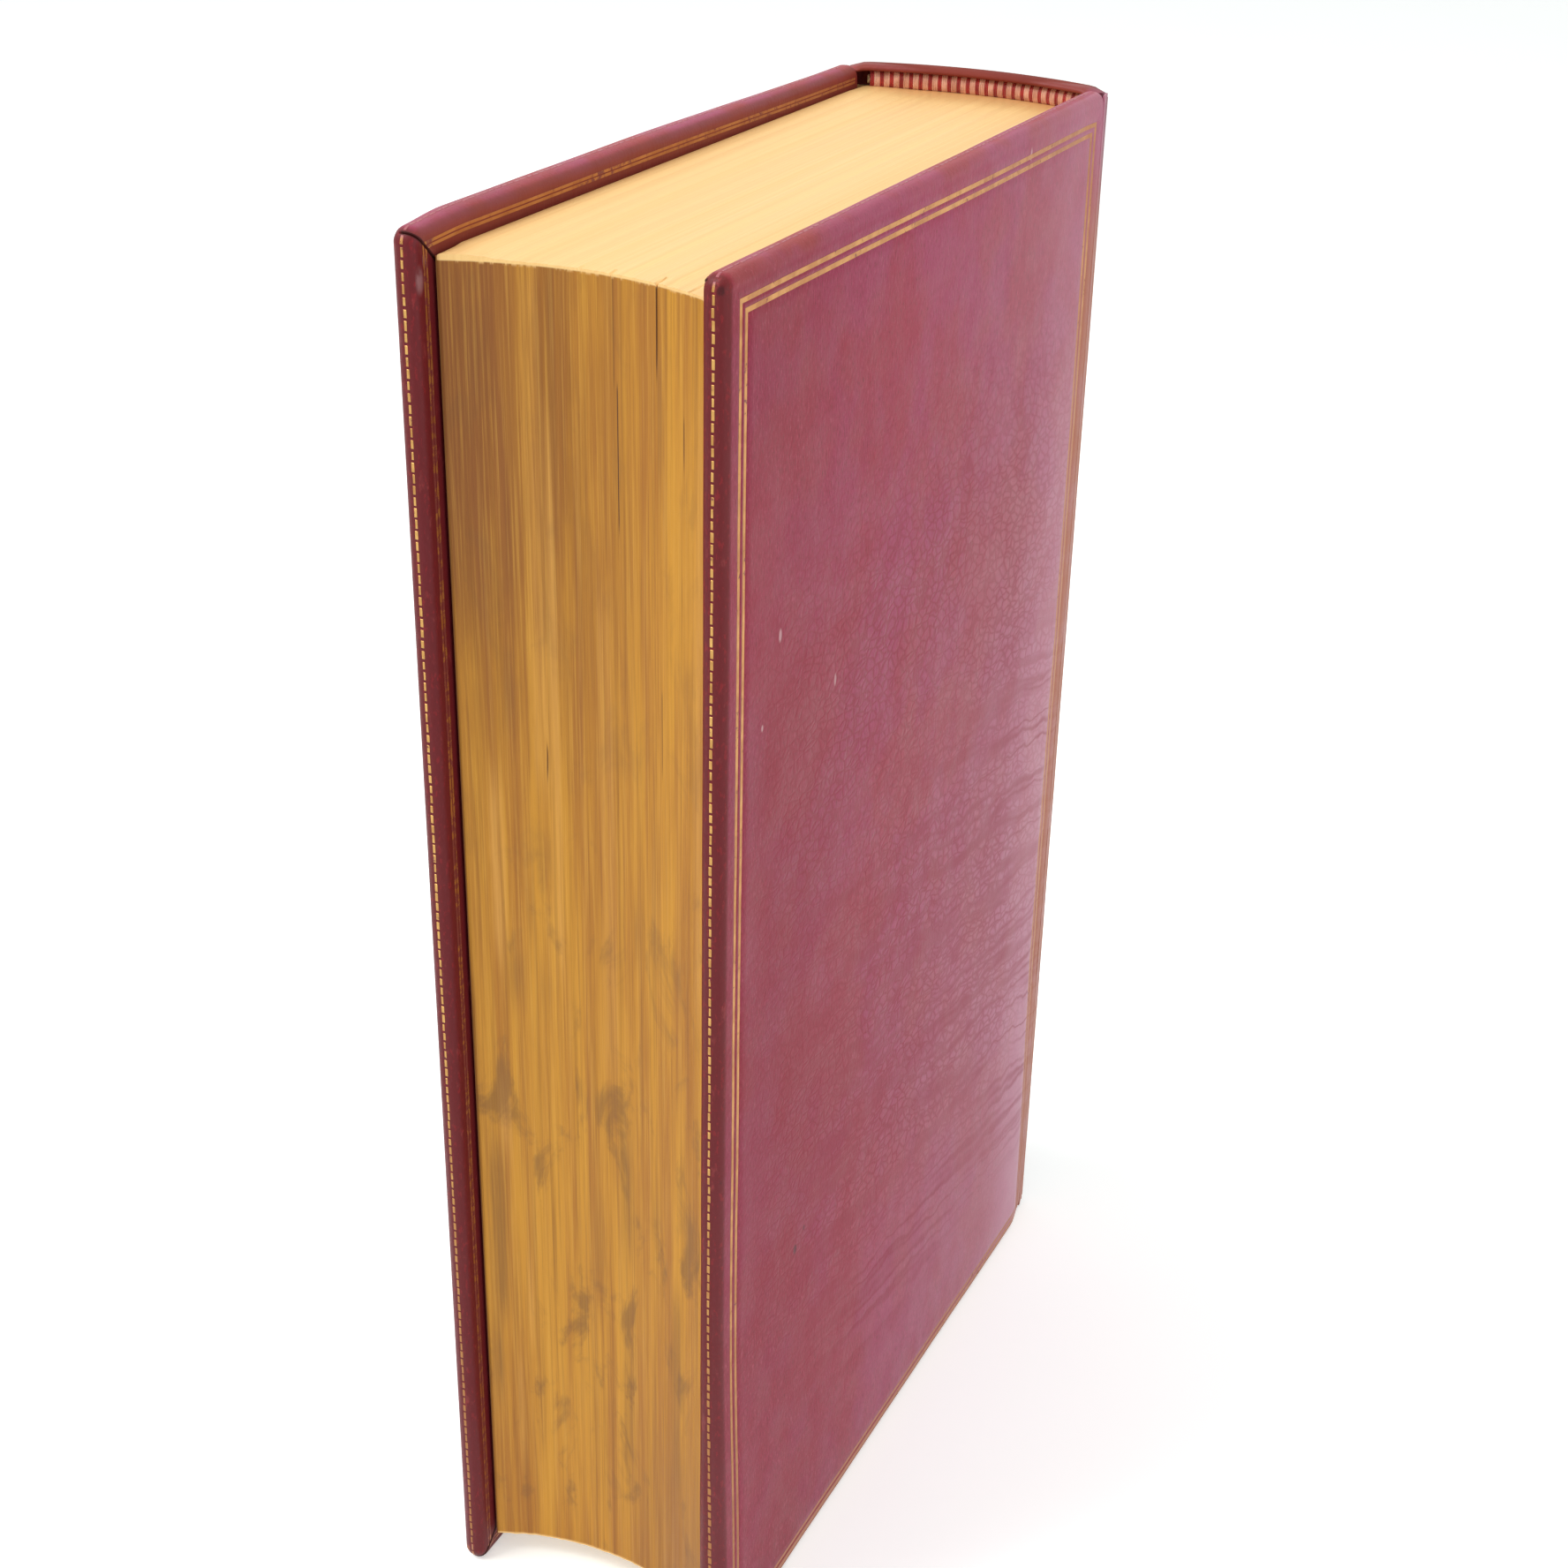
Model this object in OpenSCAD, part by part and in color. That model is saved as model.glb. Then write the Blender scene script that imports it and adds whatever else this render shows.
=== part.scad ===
// Antique book in full leather, standing upright on its tail.
// +Z runs from tail to head, +X points at the fore-edge and +Y at the rear cover.
// The origin is the bottom centre of the closed book. All sizes are in millimetres.

/* [Book] */
// Height of the covers
cover_h = 230; // [190:1:270]
// Width of a cover, from its joint to the fore-edge
cover_w = 138; // [116:0.5:168]
// Thickness of the closed book, over both covers
book_t = 49.3; // [40:0.1:60]
// How far the covers overhang the leaves
square_w = 4; // [3.3:0.1:5]

/* [Covers] */
// Thickness of one covered board
cover_t = 3.8; // [3.2:0.1:4.8]
// Rounding of the covers' edges
edge_r = 1.4; // [1:0.1:1.6]
// Rounding of the covers' fore corners, seen from the side
corner_r = 2.2; // [1.7:0.1:3]
// Rounding of the covers' corners at the joint, nipped so that the leather folds round them
nip_r = 2.5; // [1.9:0.1:3.2]
// Rounding of the outer face where it meets the joint
joint_r = 0.9; // [0.75:0.05:1.1]
// Thickness of the covering leather
leather_t = 0.6; // [0.45:0.05:0.75]
// Width of the leather turned in on a cover's inner face
turn_in_w = 14; // [11:0.5:18]
// Thickness of the endpapers
paper_t = 0.2; // [0.15:0.01:0.25]

/* [Leaves] */
// Depth of the hollow in the fore-edge
fore_hollow = 4.5; // [3.5:0.1:6]

/* [Spine] */
// Rise of the rounded spine over its two shoulders
spine_rise = 5; // [4:0.1:6.5]
// Width of each shoulder, between the joint and the spine's curve
shoulder_w = 2; // [1.6:0.1:2.5]
// Thickness of the lining between the leaves' backs and the leather
lining_t = 0.3; // [0.2:0.05:0.4]
// Number of sewing cords
cord_count = 5; // [3:1:6]
// Thickness of a sewing cord
cord_d = 2.4; // [1.9:0.1:3]
// How much longer the panel at the tail is than the others
tail_extra = 6; // [4:0.5:8]
// Width of a cord's slip, flattened where it is laced into a board
slip_w = 5; // [4:0.5:6]
// Thickness of a slip
slip_t = 0.7; // [0.5:0.05:0.85]
// Length of a slip on the board's outer face
slip_reach = 14; // [11:0.5:17]

/* [Head and tail bands] */
// Thickness of a band over its silk
band_d = 2.6; // [2.1:0.1:3.1]
// Thickness of its core
core_d = 1.6; // [1.3:0.1:1.9]
// Distance from one cream rib to the next
rib_pitch = 1.75; // [1.4:0.05:2.1]
// Part of that distance which is cream; the rest is red
cream_share = 0.62; // [0.5:0.01:0.74]

/* [Gilding] */
// Distance from a cover's head to its outer gilt line
fillet_head_inset = 4.6; // [3.5:0.1:7]
// Distance from a cover's fore-edge to its outer gilt line
fillet_fore_inset = 3.6; // [3:0.1:7]
// Distance from the joint to the outer gilt line
fillet_joint_inset = 3.6; // [3:0.1:4.5]
// Distance from the tail to the outer gilt line, which was tooled close to that edge
fillet_tail_inset = 1.5; // [1.45:0.05:2.5]
// Distance between the two lines of a fillet
fillet_pitch = 1.5; // [1.2:0.05:1.8]
// Width of a gilt line
fillet_w = 0.7; // [0.5:0.05:0.85]
// Distance from a cover's edge to the outer gilt line on its turned-in leather
inner_inset = 2; // [1.7:0.1:2.5]
// Width of a gilt line there
inner_w = 0.4; // [0.3:0.05:0.5]
// Gap between the two gilt lines there
inner_gap = 0.2; // [0.16:0.02:0.26]
// Width of the fine gilt lines on the edges and the spine
fine_w = 0.5; // [0.4:0.05:0.6]
// Length of a dash on a cover's edge
dash_l = 1.7; // [1.4:0.05:2.1]
// Gap between two dashes
dash_gap = 0.4; // [0.3:0.05:0.5]
// Depth of the gold in the leather
gilt_t = 0.1; // [0.08:0.01:0.13]

/* [Hidden] */
$fn = 96;

// Fits
joint_gap = 0.3;
joint_drop = 0.4;
page_gap = 0.6;
band_gap = 0.3;
seat_fit = 0.03;
shoulder_lean = 1.2;
over = 1;

// Parts of the spine's half angle that the lining, the gilt rules, the bands' crests and the cords take up
lining_share = 0.95;
rule_share = 0.93;
crest_share = 0.66;
cord_share = 0.6;
// Part of the leaves' half thickness that the hollow in the fore-edge takes up
hollow_share = 0.985;
// The red ribs are wound a little lower than the cream ones
red_share = 0.94;

// Thickness of the leaves, and their height
leaves_t = book_t - 2 * (cover_t + page_gap + paper_t);
leaves_h = cover_h - 2 * square_w;

// Places along X, from the fore-edge back to the raised bands
band_rise = cord_d - lining_t;
book_w = cover_w + joint_gap + shoulder_w + spine_rise + band_rise;
x_fore = book_w / 2;
x_edge = x_fore - cover_w;
x_hinge = x_edge - joint_gap / 2;
x_leather = x_edge - joint_gap;
x_apex = band_rise - book_w / 2;
x_pages = x_fore - square_w;

// The spine's curve, outside the leather and on the leaves' backs
shoulder_y = book_t / 2 - joint_drop;
spine_r = (pow(shoulder_y, 2) + pow(spine_rise, 2)) / (2 * spine_rise);
x_centre = x_apex + spine_r;
back_r = spine_r - leather_t - lining_t;
spine_angle = asin(shoulder_y / spine_r);

// Faces of the rear cover, from outside in
y_out = book_t / 2;
y_in = y_out - cover_t;
y_board_out = y_out - leather_t;
y_board_in = y_in + leather_t;
y_field = y_in + paper_t;

// Sewing cords and raised bands
panel_h = (cover_h - tail_extra) / (cord_count + 1);
cord_z = [for (i = [1:cord_count]) tail_extra + i * panel_h];
cord_r = back_r + cord_d / 2;
band_half = cord_d / 2 + leather_t;
crest_angle = spine_angle * crest_share;
cord_angle = spine_angle * cord_share;

// Head and tail bands, and the leather caps over them
headband_r = back_r - band_d / 2;
headband_lift = square_w - band_d / 2 - seat_fit;
headband_angle = asin(leaves_t / 2 / headband_r);
cap_t = square_w - band_d - band_gap;
cap_w = band_d + leather_t;
cap_r = leather_t + lining_t;
rib_angle = rib_pitch / headband_r * 180 / PI;
rib_count = floor(2 * headband_angle / rib_angle);

// Gilt rules on the spine, one on each side of a raised band
rule_margin = 1.4;
rule_gap = band_half + rule_margin;
rule_angle = spine_angle * rule_share;

burgundy = [0.47, 0.17, 0.2];
dark_red = [0.42, 0.05, 0.07];
cream = [0.85, 0.68, 0.58];
gold = [0.78, 0.56, 0.3];
gilt_paper = [0.86, 0.72, 0.42];
paper = [0.9, 0.86, 0.76];
card = [0.6, 0.52, 0.4];
hemp = [0.76, 0.68, 0.52];

// Points of an arc about [cx, cy], from angle a0 to a1
arc_steps = 6;
function arc(cx, cy, r, a0, a1) =
    [for (i = [0:arc_steps]) let (a = a0 + (a1 - a0) * i / arc_steps) [cx + r * cos(a), cy + r * sin(a)]];

// Sweeps a profile of [radius, height] round the spine, that far to each side of its middle
module round_spine(half_angle) {
    translate([x_centre, 0, 0])
        rotate([0, 0, 180 - half_angle])
            rotate_extrude(angle = 2 * half_angle) children();
}

// A bar along Z with the section of the child
module upright(h) {
    linear_extrude(height = h) children();
}

// A bar along X with the section of the child, drawn in Y and Z
module lengthwise(x0, x1) {
    translate([x0, 0, 0])
        rotate([90, 0, 90])
            linear_extrude(height = x1 - x0) children();
}

// A plate in the XZ plane between two values of Y
module plate(y0, y1) {
    translate([0, y1, 0])
        rotate([90, 0, 0])
            linear_extrude(height = y1 - y0) children();
}

// Front pieces are the rear ones mirrored
module front_side() {
    mirror([0, 1, 0]) children();
}

// The leaves, rounded at the back and hollow at the fore-edge
module text_block() {
    half_t = leaves_t / 2;
    tip_y = shoulder_y - leather_t;
    tip_x = x_leather - shoulder_lean;
    land = half_t * hollow_share;
    hollow_r = (pow(land, 2) + pow(fore_hollow, 2)) / (2 * fore_hollow);
    color(gilt_paper)
        translate([0, 0, square_w])
            upright(leaves_h)
                difference() {
                    union() {
                        intersection() {
                            translate([x_centre, 0])
                                circle(r = back_r);
                            translate([x_apex - over, -tip_y])
                                square([tip_x - x_apex + over, 2 * tip_y]);
                        }
                        polygon([
                            [x_leather, half_t], [tip_x, tip_y], [tip_x, -tip_y],
                            [x_leather, -half_t], [x_pages, -half_t], [x_pages, half_t]
                        ]);
                    }
                    translate([x_pages - fore_hollow + hollow_r, 0])
                        circle(r = hollow_r);
                }
}

// The free leaf of the endpapers, against the leaves
module rear_flyleaf() {
    color(paper)
        translate([x_leather, leaves_t / 2, square_w])
            cube([x_pages - x_leather, paper_t, leaves_h]);
}

module front_flyleaf() {
    front_side() rear_flyleaf();
}

module sewing_cords() {
    color(hemp)
        for (z = cord_z)
            round_spine(cord_angle)
                translate([cord_r, z])
                    circle(d = cord_d);
}

// Lining glued on the leaves' backs, with a gap for each cord
module spine_lining() {
    color(card)
        difference() {
            round_spine(spine_angle * lining_share)
                translate([back_r + seat_fit, square_w])
                    square([lining_t - 2 * seat_fit, leaves_h]);
            for (z = cord_z)
                round_spine(spine_angle)
                    translate([back_r - over, z - band_half])
                        square([2 * over, 2 * band_half]);
        }
}

// Section of the spine's leather, with a cap folded over the band at each end
module spine_section() {
    inner = spine_r - leather_t;
    lip = back_r - cap_w;
    polygon(concat(
        [[lip, 0]],
        arc(spine_r - cap_r, cap_r, cap_r, 270, 360),
        arc(spine_r - cap_r, cover_h - cap_r, cap_r, 0, 90),
        [
            [lip, cover_h], [lip, cover_h - cap_t], [inner, cover_h - cap_t],
            [inner, cap_t], [lip, cap_t]
        ]
    ));
}

// Keeps a raised band's middle and slopes its ends down to the shoulders
module band_taper() {
    top_r = back_r + cord_d + leather_t + over;
    upright(cover_h)
        polygon([
            [x_centre - top_r, -top_r * sin(crest_angle)],
            [x_centre - top_r * cos(crest_angle), -top_r * sin(crest_angle)],
            [x_centre - spine_r * cos(spine_angle), -shoulder_y + joint_drop],
            [x_centre, 0],
            [x_centre - spine_r * cos(spine_angle), shoulder_y - joint_drop],
            [x_centre - top_r * cos(crest_angle), top_r * sin(crest_angle)],
            [x_centre - top_r, top_r * sin(crest_angle)]
        ]);
}

module spine_rule_sections() {
    for (z = cord_z, side = [-1, 1])
        translate([spine_r - gilt_t, z + side * rule_gap - fine_w / 2])
            square([gilt_t, fine_w]);
}

// One skin from joint to joint, drawn over the cords and folded over the two bands
module spine_leather() {
    color(burgundy)
        difference() {
            union() {
                intersection() {
                    round_spine(spine_angle + over)
                        spine_section();
                    translate([x_apex - over, -shoulder_y, 0])
                        cube([x_leather - x_apex + over, 2 * shoulder_y, cover_h]);
                }
                for (side = [0, 1])
                    mirror([0, side, 0])
                        translate([x_centre - spine_r * cos(spine_angle), shoulder_y - leather_t, 0])
                            cube([shoulder_w, leather_t, cover_h]);
                intersection() {
                    for (z = cord_z)
                        round_spine(spine_angle)
                            translate([cord_r, z])
                                circle(r = band_half);
                    band_taper();
                }
            }
            for (z = cord_z)
                round_spine(cord_angle)
                    translate([cord_r, z])
                        circle(d = cord_d);
            translate([x_centre, 0, square_w / 2])
                cylinder(r = back_r, h = cover_h - square_w);
            round_spine(rule_angle)
                spine_rule_sections();
        }
}

module spine_gilt_rules() {
    color(gold)
        round_spine(rule_angle)
            spine_rule_sections();
}

// A band is a round core with silk wound over it in cream and red ribs
module headband_core() {
    color(hemp)
        round_spine(headband_angle)
            translate([headband_r, 0])
                circle(d = core_d);
}

module silk_ribs(first, share, d) {
    for (i = [0:rib_count - 1])
        translate([x_centre, 0, 0])
            rotate([0, 0, 180 + (i + first - rib_count / 2) * rib_angle])
                rotate_extrude(angle = share * rib_angle)
                    translate([headband_r, 0])
                        difference() {
                            circle(d = d);
                            circle(d = core_d + 2 * seat_fit);
                        }
}

module cream_ribs() {
    color(cream) silk_ribs(0, cream_share, band_d);
}

module red_ribs() {
    color(dark_red) silk_ribs(cream_share, 1 - cream_share, band_d * red_share);
}

module at_head() {
    translate([0, 0, cover_h - headband_lift]) children();
}

module at_tail() {
    translate([0, 0, headband_lift]) children();
}

// A covered board's outer shape, with its edges and corners rounded, less all round by skin
module cover_shape(skin) {
    r = edge_r - skin;
    r_joint = joint_r - skin;
    r_corner = corner_r - skin;
    r_nip = nip_r - skin;
    y0 = y_in + skin;
    y1 = y_out - skin;
    x1 = x_fore - skin;
    z0 = skin;
    z1 = cover_h - skin;
    intersection() {
        upright(cover_h)
            polygon(concat(
                [[x_edge, y0]],
                arc(x1 - r, y0 + r, r, 270, 360),
                arc(x1 - r, y1 - r, r, 0, 90),
                arc(x_edge + r_joint, y1 - r_joint, r_joint, 90, 180)
            ));
        plate(y_in - over, y_out + over)
            polygon(concat(
                [[x_edge - over, nip_r]],
                arc(x_edge + nip_r, nip_r, r_nip, 180, 270),
                arc(x1 - r_corner, z0 + r_corner, r_corner, 270, 360),
                arc(x1 - r_corner, z1 - r_corner, r_corner, 0, 90),
                arc(x_edge + nip_r, cover_h - nip_r, r_nip, 90, 180),
                [[x_edge - over, cover_h - nip_r]]
            ));
        lengthwise(x_edge - over, x_fore + over)
            polygon(concat(
                arc(y0 + r, z0 + r, r, 180, 270),
                arc(y1 - r, z0 + r, r, 270, 360),
                arc(y1 - r, z1 - r, r, 0, 90),
                arc(y0 + r, z1 - r, r, 90, 180)
            ));
    }
}

// The opening that the turned-in leather leaves on the inner face
module window(y0, y1) {
    plate(y0, y1)
        translate([x_edge, turn_in_w])
            square([cover_w - turn_in_w, cover_h - 2 * turn_in_w]);
}

// Where a cord's slip runs: along the outer face, through the board and back along the inner face
module slip_path() {
    hole_x0 = x_edge + slip_reach - 3 * slip_t;
    hole_x1 = x_edge + slip_reach;
    end_x = hole_x1 + slip_reach / 2;
    cut = joint_r - leather_t;
    polygon([
        [x_edge + cut, y_board_out], [x_edge, y_board_out - cut], [x_edge, y_board_out - slip_t],
        [hole_x0, y_board_out - slip_t], [hole_x0, y_field],
        [end_x, y_field], [end_x, y_field + slip_t],
        [hole_x1, y_field + slip_t], [hole_x1, y_board_out]
    ]);
}

module slips() {
    for (z = cord_z)
        translate([0, 0, z - slip_w / 2])
            upright(slip_w)
                slip_path();
}

module rear_board() {
    color(card)
        difference() {
            union() {
                cover_shape(leather_t);
                window(y_field, y_board_in + slip_t);
            }
            slips();
        }
}

module front_board() {
    front_side() rear_board();
}

module rear_cord_slips() {
    color(hemp) slips();
}

module front_cord_slips() {
    front_side() rear_cord_slips();
}

// The cover's face inside a gilt frame, less that much all round
module framed_field(less) {
    x0 = x_edge + fillet_joint_inset + less;
    z0 = fillet_tail_inset + less;
    translate([x0, z0])
        square([x_fore - fillet_fore_inset - less - x0, cover_h - fillet_head_inset - less - z0]);
}

// The double gilt line round a cover's outer face
module fillets(y0, y1) {
    plate(y0, y1)
        for (less = [0, fillet_pitch])
            difference() {
                framed_field(less);
                framed_field(less + fillet_w);
            }
}

// Three sides of a gilt line on the turned-in leather, open at the spine
module inner_line(inset) {
    difference() {
        translate([x_edge + nip_r, inset])
            square([cover_w - nip_r - inset, cover_h - 2 * inset]);
        translate([x_edge - over, inset + inner_w])
            square([cover_w - inset - inner_w + over, cover_h - 2 * (inset + inner_w)]);
    }
}

module inner_fillets(y0, y1) {
    plate(y0, y1) {
        inner_line(inner_inset);
        inner_line(inner_inset + inner_w + inner_gap);
    }
}

// The line that the dashes follow, round the middle of the cover's thickness
module edge_groove() {
    y_mid = (y_in + y_out) / 2;
    difference() {
        translate([x_edge - over, y_mid - fine_w / 2, -over])
            cube([cover_w + 2 * over, fine_w, cover_h + 2 * over]);
        translate([x_edge - 2 * over, y_mid - fine_w, gilt_t])
            cube([cover_w + 2 * over - gilt_t, 2 * fine_w, cover_h - 2 * gilt_t]);
    }
}

// A row of dashes along X from the origin, centred in the length
module dash_row(length) {
    step = dash_l + dash_gap;
    count = floor((length - dash_gap) / step);
    start = (length - count * step + dash_gap) / 2;
    for (i = [0:count - 1])
        translate([start + i * step, -fine_w / 2, 0])
            cube([dash_l, fine_w, gilt_t]);
}

module edge_dashes() {
    y_mid = (y_in + y_out) / 2;
    along = cover_w - nip_r - corner_r;
    up = cover_h - 2 * corner_r;
    for (z = [0, cover_h - gilt_t])
        translate([x_edge + nip_r, y_mid, z])
            dash_row(along);
    translate([x_fore - gilt_t, y_mid, cover_h - corner_r])
        rotate([0, 90, 0])
            dash_row(up);
}

// Leather drawn over the board's outer face and three edges, and turned in on the inner face
module rear_cover_leather() {
    color(burgundy)
        difference() {
            cover_shape(0);
            cover_shape(leather_t);
            window(y_in - over, y_board_in + over);
            fillets(y_out - gilt_t, y_out + over);
            inner_fillets(y_in - over, y_in + gilt_t);
            edge_groove();
        }
}

module front_cover_leather() {
    front_side() rear_cover_leather();
}

module rear_gilt_fillets() {
    color(gold) fillets(y_out - gilt_t, y_out);
}

module front_gilt_fillets() {
    front_side() rear_gilt_fillets();
}

module rear_edge_gilt() {
    color(gold) edge_dashes();
}

module front_edge_gilt() {
    front_side() rear_edge_gilt();
}

module rear_turn_in_gilt() {
    color(gold) inner_fillets(y_in, y_in + gilt_t);
}

module front_turn_in_gilt() {
    front_side() rear_turn_in_gilt();
}

// The pasted leaf of the endpapers, level with the turned-in leather round it
module rear_pastedown() {
    color(paper) window(y_in, y_field);
}

module front_pastedown() {
    front_side() rear_pastedown();
}

text_block();
front_flyleaf();
rear_flyleaf();
sewing_cords();
spine_lining();
spine_leather();
spine_gilt_rules();
at_head() headband_core();  // head_band_core
at_head() cream_ribs();  // head_band_cream_silk
at_head() red_ribs();  // head_band_red_silk
at_tail() headband_core();  // tail_band_core
at_tail() cream_ribs();  // tail_band_cream_silk
at_tail() red_ribs();  // tail_band_red_silk
front_board();
front_cord_slips();
front_cover_leather();
front_gilt_fillets();
front_edge_gilt();
front_turn_in_gilt();
front_pastedown();
rear_board();
rear_cord_slips();
rear_cover_leather();
rear_gilt_fillets();
rear_edge_gilt();
rear_turn_in_gilt();
rear_pastedown();
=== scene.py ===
import math
import random

import bmesh
import bpy
from mathutils import Matrix, Vector, noise


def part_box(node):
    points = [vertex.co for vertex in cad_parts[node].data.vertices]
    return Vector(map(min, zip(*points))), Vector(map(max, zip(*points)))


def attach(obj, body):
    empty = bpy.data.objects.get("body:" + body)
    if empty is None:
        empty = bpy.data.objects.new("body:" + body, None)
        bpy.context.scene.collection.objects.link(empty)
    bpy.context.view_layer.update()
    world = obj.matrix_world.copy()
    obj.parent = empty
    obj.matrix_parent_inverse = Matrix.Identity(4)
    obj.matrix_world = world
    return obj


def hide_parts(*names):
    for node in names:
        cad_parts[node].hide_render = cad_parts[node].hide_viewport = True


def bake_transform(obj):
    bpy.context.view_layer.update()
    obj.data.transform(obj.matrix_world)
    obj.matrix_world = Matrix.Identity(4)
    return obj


# An antique leather book standing on its tail: +X is the fore-edge, +Y the rear cover, +Z the head.
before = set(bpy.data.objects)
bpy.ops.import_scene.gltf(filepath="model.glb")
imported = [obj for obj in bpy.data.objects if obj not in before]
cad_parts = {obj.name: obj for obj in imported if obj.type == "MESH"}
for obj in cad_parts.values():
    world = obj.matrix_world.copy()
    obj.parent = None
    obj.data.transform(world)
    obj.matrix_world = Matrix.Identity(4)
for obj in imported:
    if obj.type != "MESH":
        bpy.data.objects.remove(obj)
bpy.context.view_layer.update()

MM = 0.001
SIDES = {1: "rear", -1: "front"}

# Places read from the frame
COVER_LOW, COVER_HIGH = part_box("rear_cover_leather")
LEAVES_LOW, LEAVES_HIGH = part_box("text_block")
SPINE_LOW, SPINE_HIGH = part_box("spine_leather")
FLY_LOW, FLY_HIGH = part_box("rear_flyleaf")
X_FORE, X_EDGE = COVER_HIGH.x, COVER_LOW.x
Y_OUT, Y_IN = COVER_HIGH.y, COVER_LOW.y
MID_Y = (Y_IN + Y_OUT) / 2
HEIGHT = COVER_HIGH.z
X_LEATHER, SHOULDER_Y = SPINE_HIGH.x, SPINE_HIGH.y
HALF_T = FLY_LOW.y
TURN_IN = X_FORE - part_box("rear_pastedown")[1].x

# Covers
EDGE_R = 1.55 * MM
CORNER_R = 2.2 * MM
NIP_R = 2.5 * MM
JOINT_R = 0.9 * MM
SKIN_T = 0.55 * MM
LEAF_T = 0.03 * MM
LINE_INSETS = {"fore": 3.6 * MM, "joint": 3.6 * MM, "head": 4.6 * MM, "tail": 1.5 * MM}
LINE_W = 0.7 * MM
LINE_PITCH = 1.5 * MM
INNER_LINES = ((2.0 * MM, 2.4 * MM), (2.6 * MM, 3.0 * MM))
GROOVE_SLOPE = 0.2 * MM
GROOVE_DEPTH = 0.1 * MM
GRID_STEP = 1.6 * MM
DASH_L, DASH_GAP, DASH_W = 1.25 * MM, 0.37 * MM, 0.42 * MM
DASH_END = 2 * MM
FOLD_GAP = 0.3 * MM
FOLD_CUTS = (-0.25 * MM, 0, 0.22 * MM, 0.55 * MM, 1.0 * MM)
# How far out over the thickness the mitred folds show, on the rear and the front cover
FOLD_REACH = {1: Y_IN + 0.5 * MM, -1: MID_Y + 0.4 * MM}
FILLET_RISE = 1.1 * MM
# How far the boards have swollen outwards, and the front one's head edge upwards
REAR_SWELL, FRONT_SWELL, FRONT_RISE = 1.2 * MM, 0.9 * MM, 0.5 * MM
REAR_SINK = 0.45 * MM

# The leather's surface
CREASE_DIP = math.radians(9)
# How strong the painted sheen on the outer faces is
PAINTED_SHEEN = 0.4
SCUFFS = (
    # place and half size in mm, strength, whether ragged
    ((57.1, 24.6, 176.7), (0.6, 3, 1.3), 0.6, False), ((38.5, 24.6, 162.7), (0.5, 3, 1.3), 0.5, False),
    ((62.3, 24.6, 164.8), (0.4, 3, 0.7), 0.6, False), ((-30.3, 24.6, 225.6), (0.5, 3, 1.4), 0.6, False),
    ((72.4, -21.1, 223.2), (0.9, 0.5, 2.6), 0.3, True), ((71.5, -21.0, 225.6), (0.5, 0.6, 1.2), 0.3, True),
)
SPECKS = (
    # place and half size in mm
    ((47.5, 24.6, 65.7), (0.8, 3, 1.2)), ((44.3, 24.6, 67.9), (0.4, 3, 0.7)),
    ((73.6, 24.5, 95.3), (1.0, 0.4, 0.7)), ((73.6, 23.7, 228.2), (2.0, 0.7, 0.9)),
)

# Spine
SHOULDER_W = 2 * MM
SPINE_RISE = 5 * MM
SPINE_CORNER = 0.9 * MM
BAND_RISE = 2.1 * MM
SPINE_R = (SHOULDER_Y ** 2 + SPINE_RISE ** 2) / (2 * SPINE_RISE)
X_CENTRE = X_LEATHER - SHOULDER_W - SPINE_RISE + SPINE_R
SPINE_ANGLE = math.asin(SHOULDER_Y / SPINE_R)
BACK_R = SPINE_R - 0.9 * MM
CORD_COUNT = 5
TAIL_EXTRA = 6 * MM
CORD_Z = [TAIL_EXTRA + i * (HEIGHT - TAIL_EXTRA) / (CORD_COUNT + 1) for i in range(1, CORD_COUNT + 1)]
RULE_OFFSET = 3.2 * MM
RULE_W = 0.5 * MM
RULE_SHARE = 0.93
CAP_R = 0.9 * MM
CAP_FOLD = (
    # distance from the spine curve's middle, height over the end of the straight part
    (SPINE_R - 0.12 * MM, 0.45 * MM), (SPINE_R - 0.42 * MM, 0.78 * MM), (BACK_R, 0.9 * MM),
    (BACK_R - 1.1 * MM, 0.93 * MM), (BACK_R - 2.4 * MM, 0.86 * MM), (BACK_R - 3.0 * MM, 0.6 * MM),
    (BACK_R - 3.2 * MM, 0.2 * MM), (BACK_R - 3.0 * MM, -0.12 * MM), (BACK_R - 1.2 * MM, -0.2 * MM),
    (BACK_R + 0.2 * MM, -0.2 * MM),
)

# Leaves
FORE_HOLLOW = 4.5 * MM
HOLLOW_SHARE = 0.985
LEAF_STEP = 0.28 * MM
LEAF_LIFT = 0.42 * MM
HEAD_LIFT = 0.5 * MM
SPLIT_W = 0.09 * MM
SPLITS = (
    # place across the leaves, lowest and highest point, depth, darkness of the painted shade
    (4.3 * MM, 191 * MM, 211 * MM, 0.45 * MM, 0.9), (3.8 * MM, 211 * MM, 226 * MM, 0.2 * MM, 0.35),
    (10.8 * MM, 214 * MM, 226 * MM, 0.4 * MM, 0.8), (15.6 * MM, 203 * MM, 209 * MM, 0.3 * MM, 0.7),
    (-7.9 * MM, 151 * MM, 156 * MM, 0.3 * MM, 0.8), (11.5 * MM, 157 * MM, 169 * MM, 0.3 * MM, 0.5),
)
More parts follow.
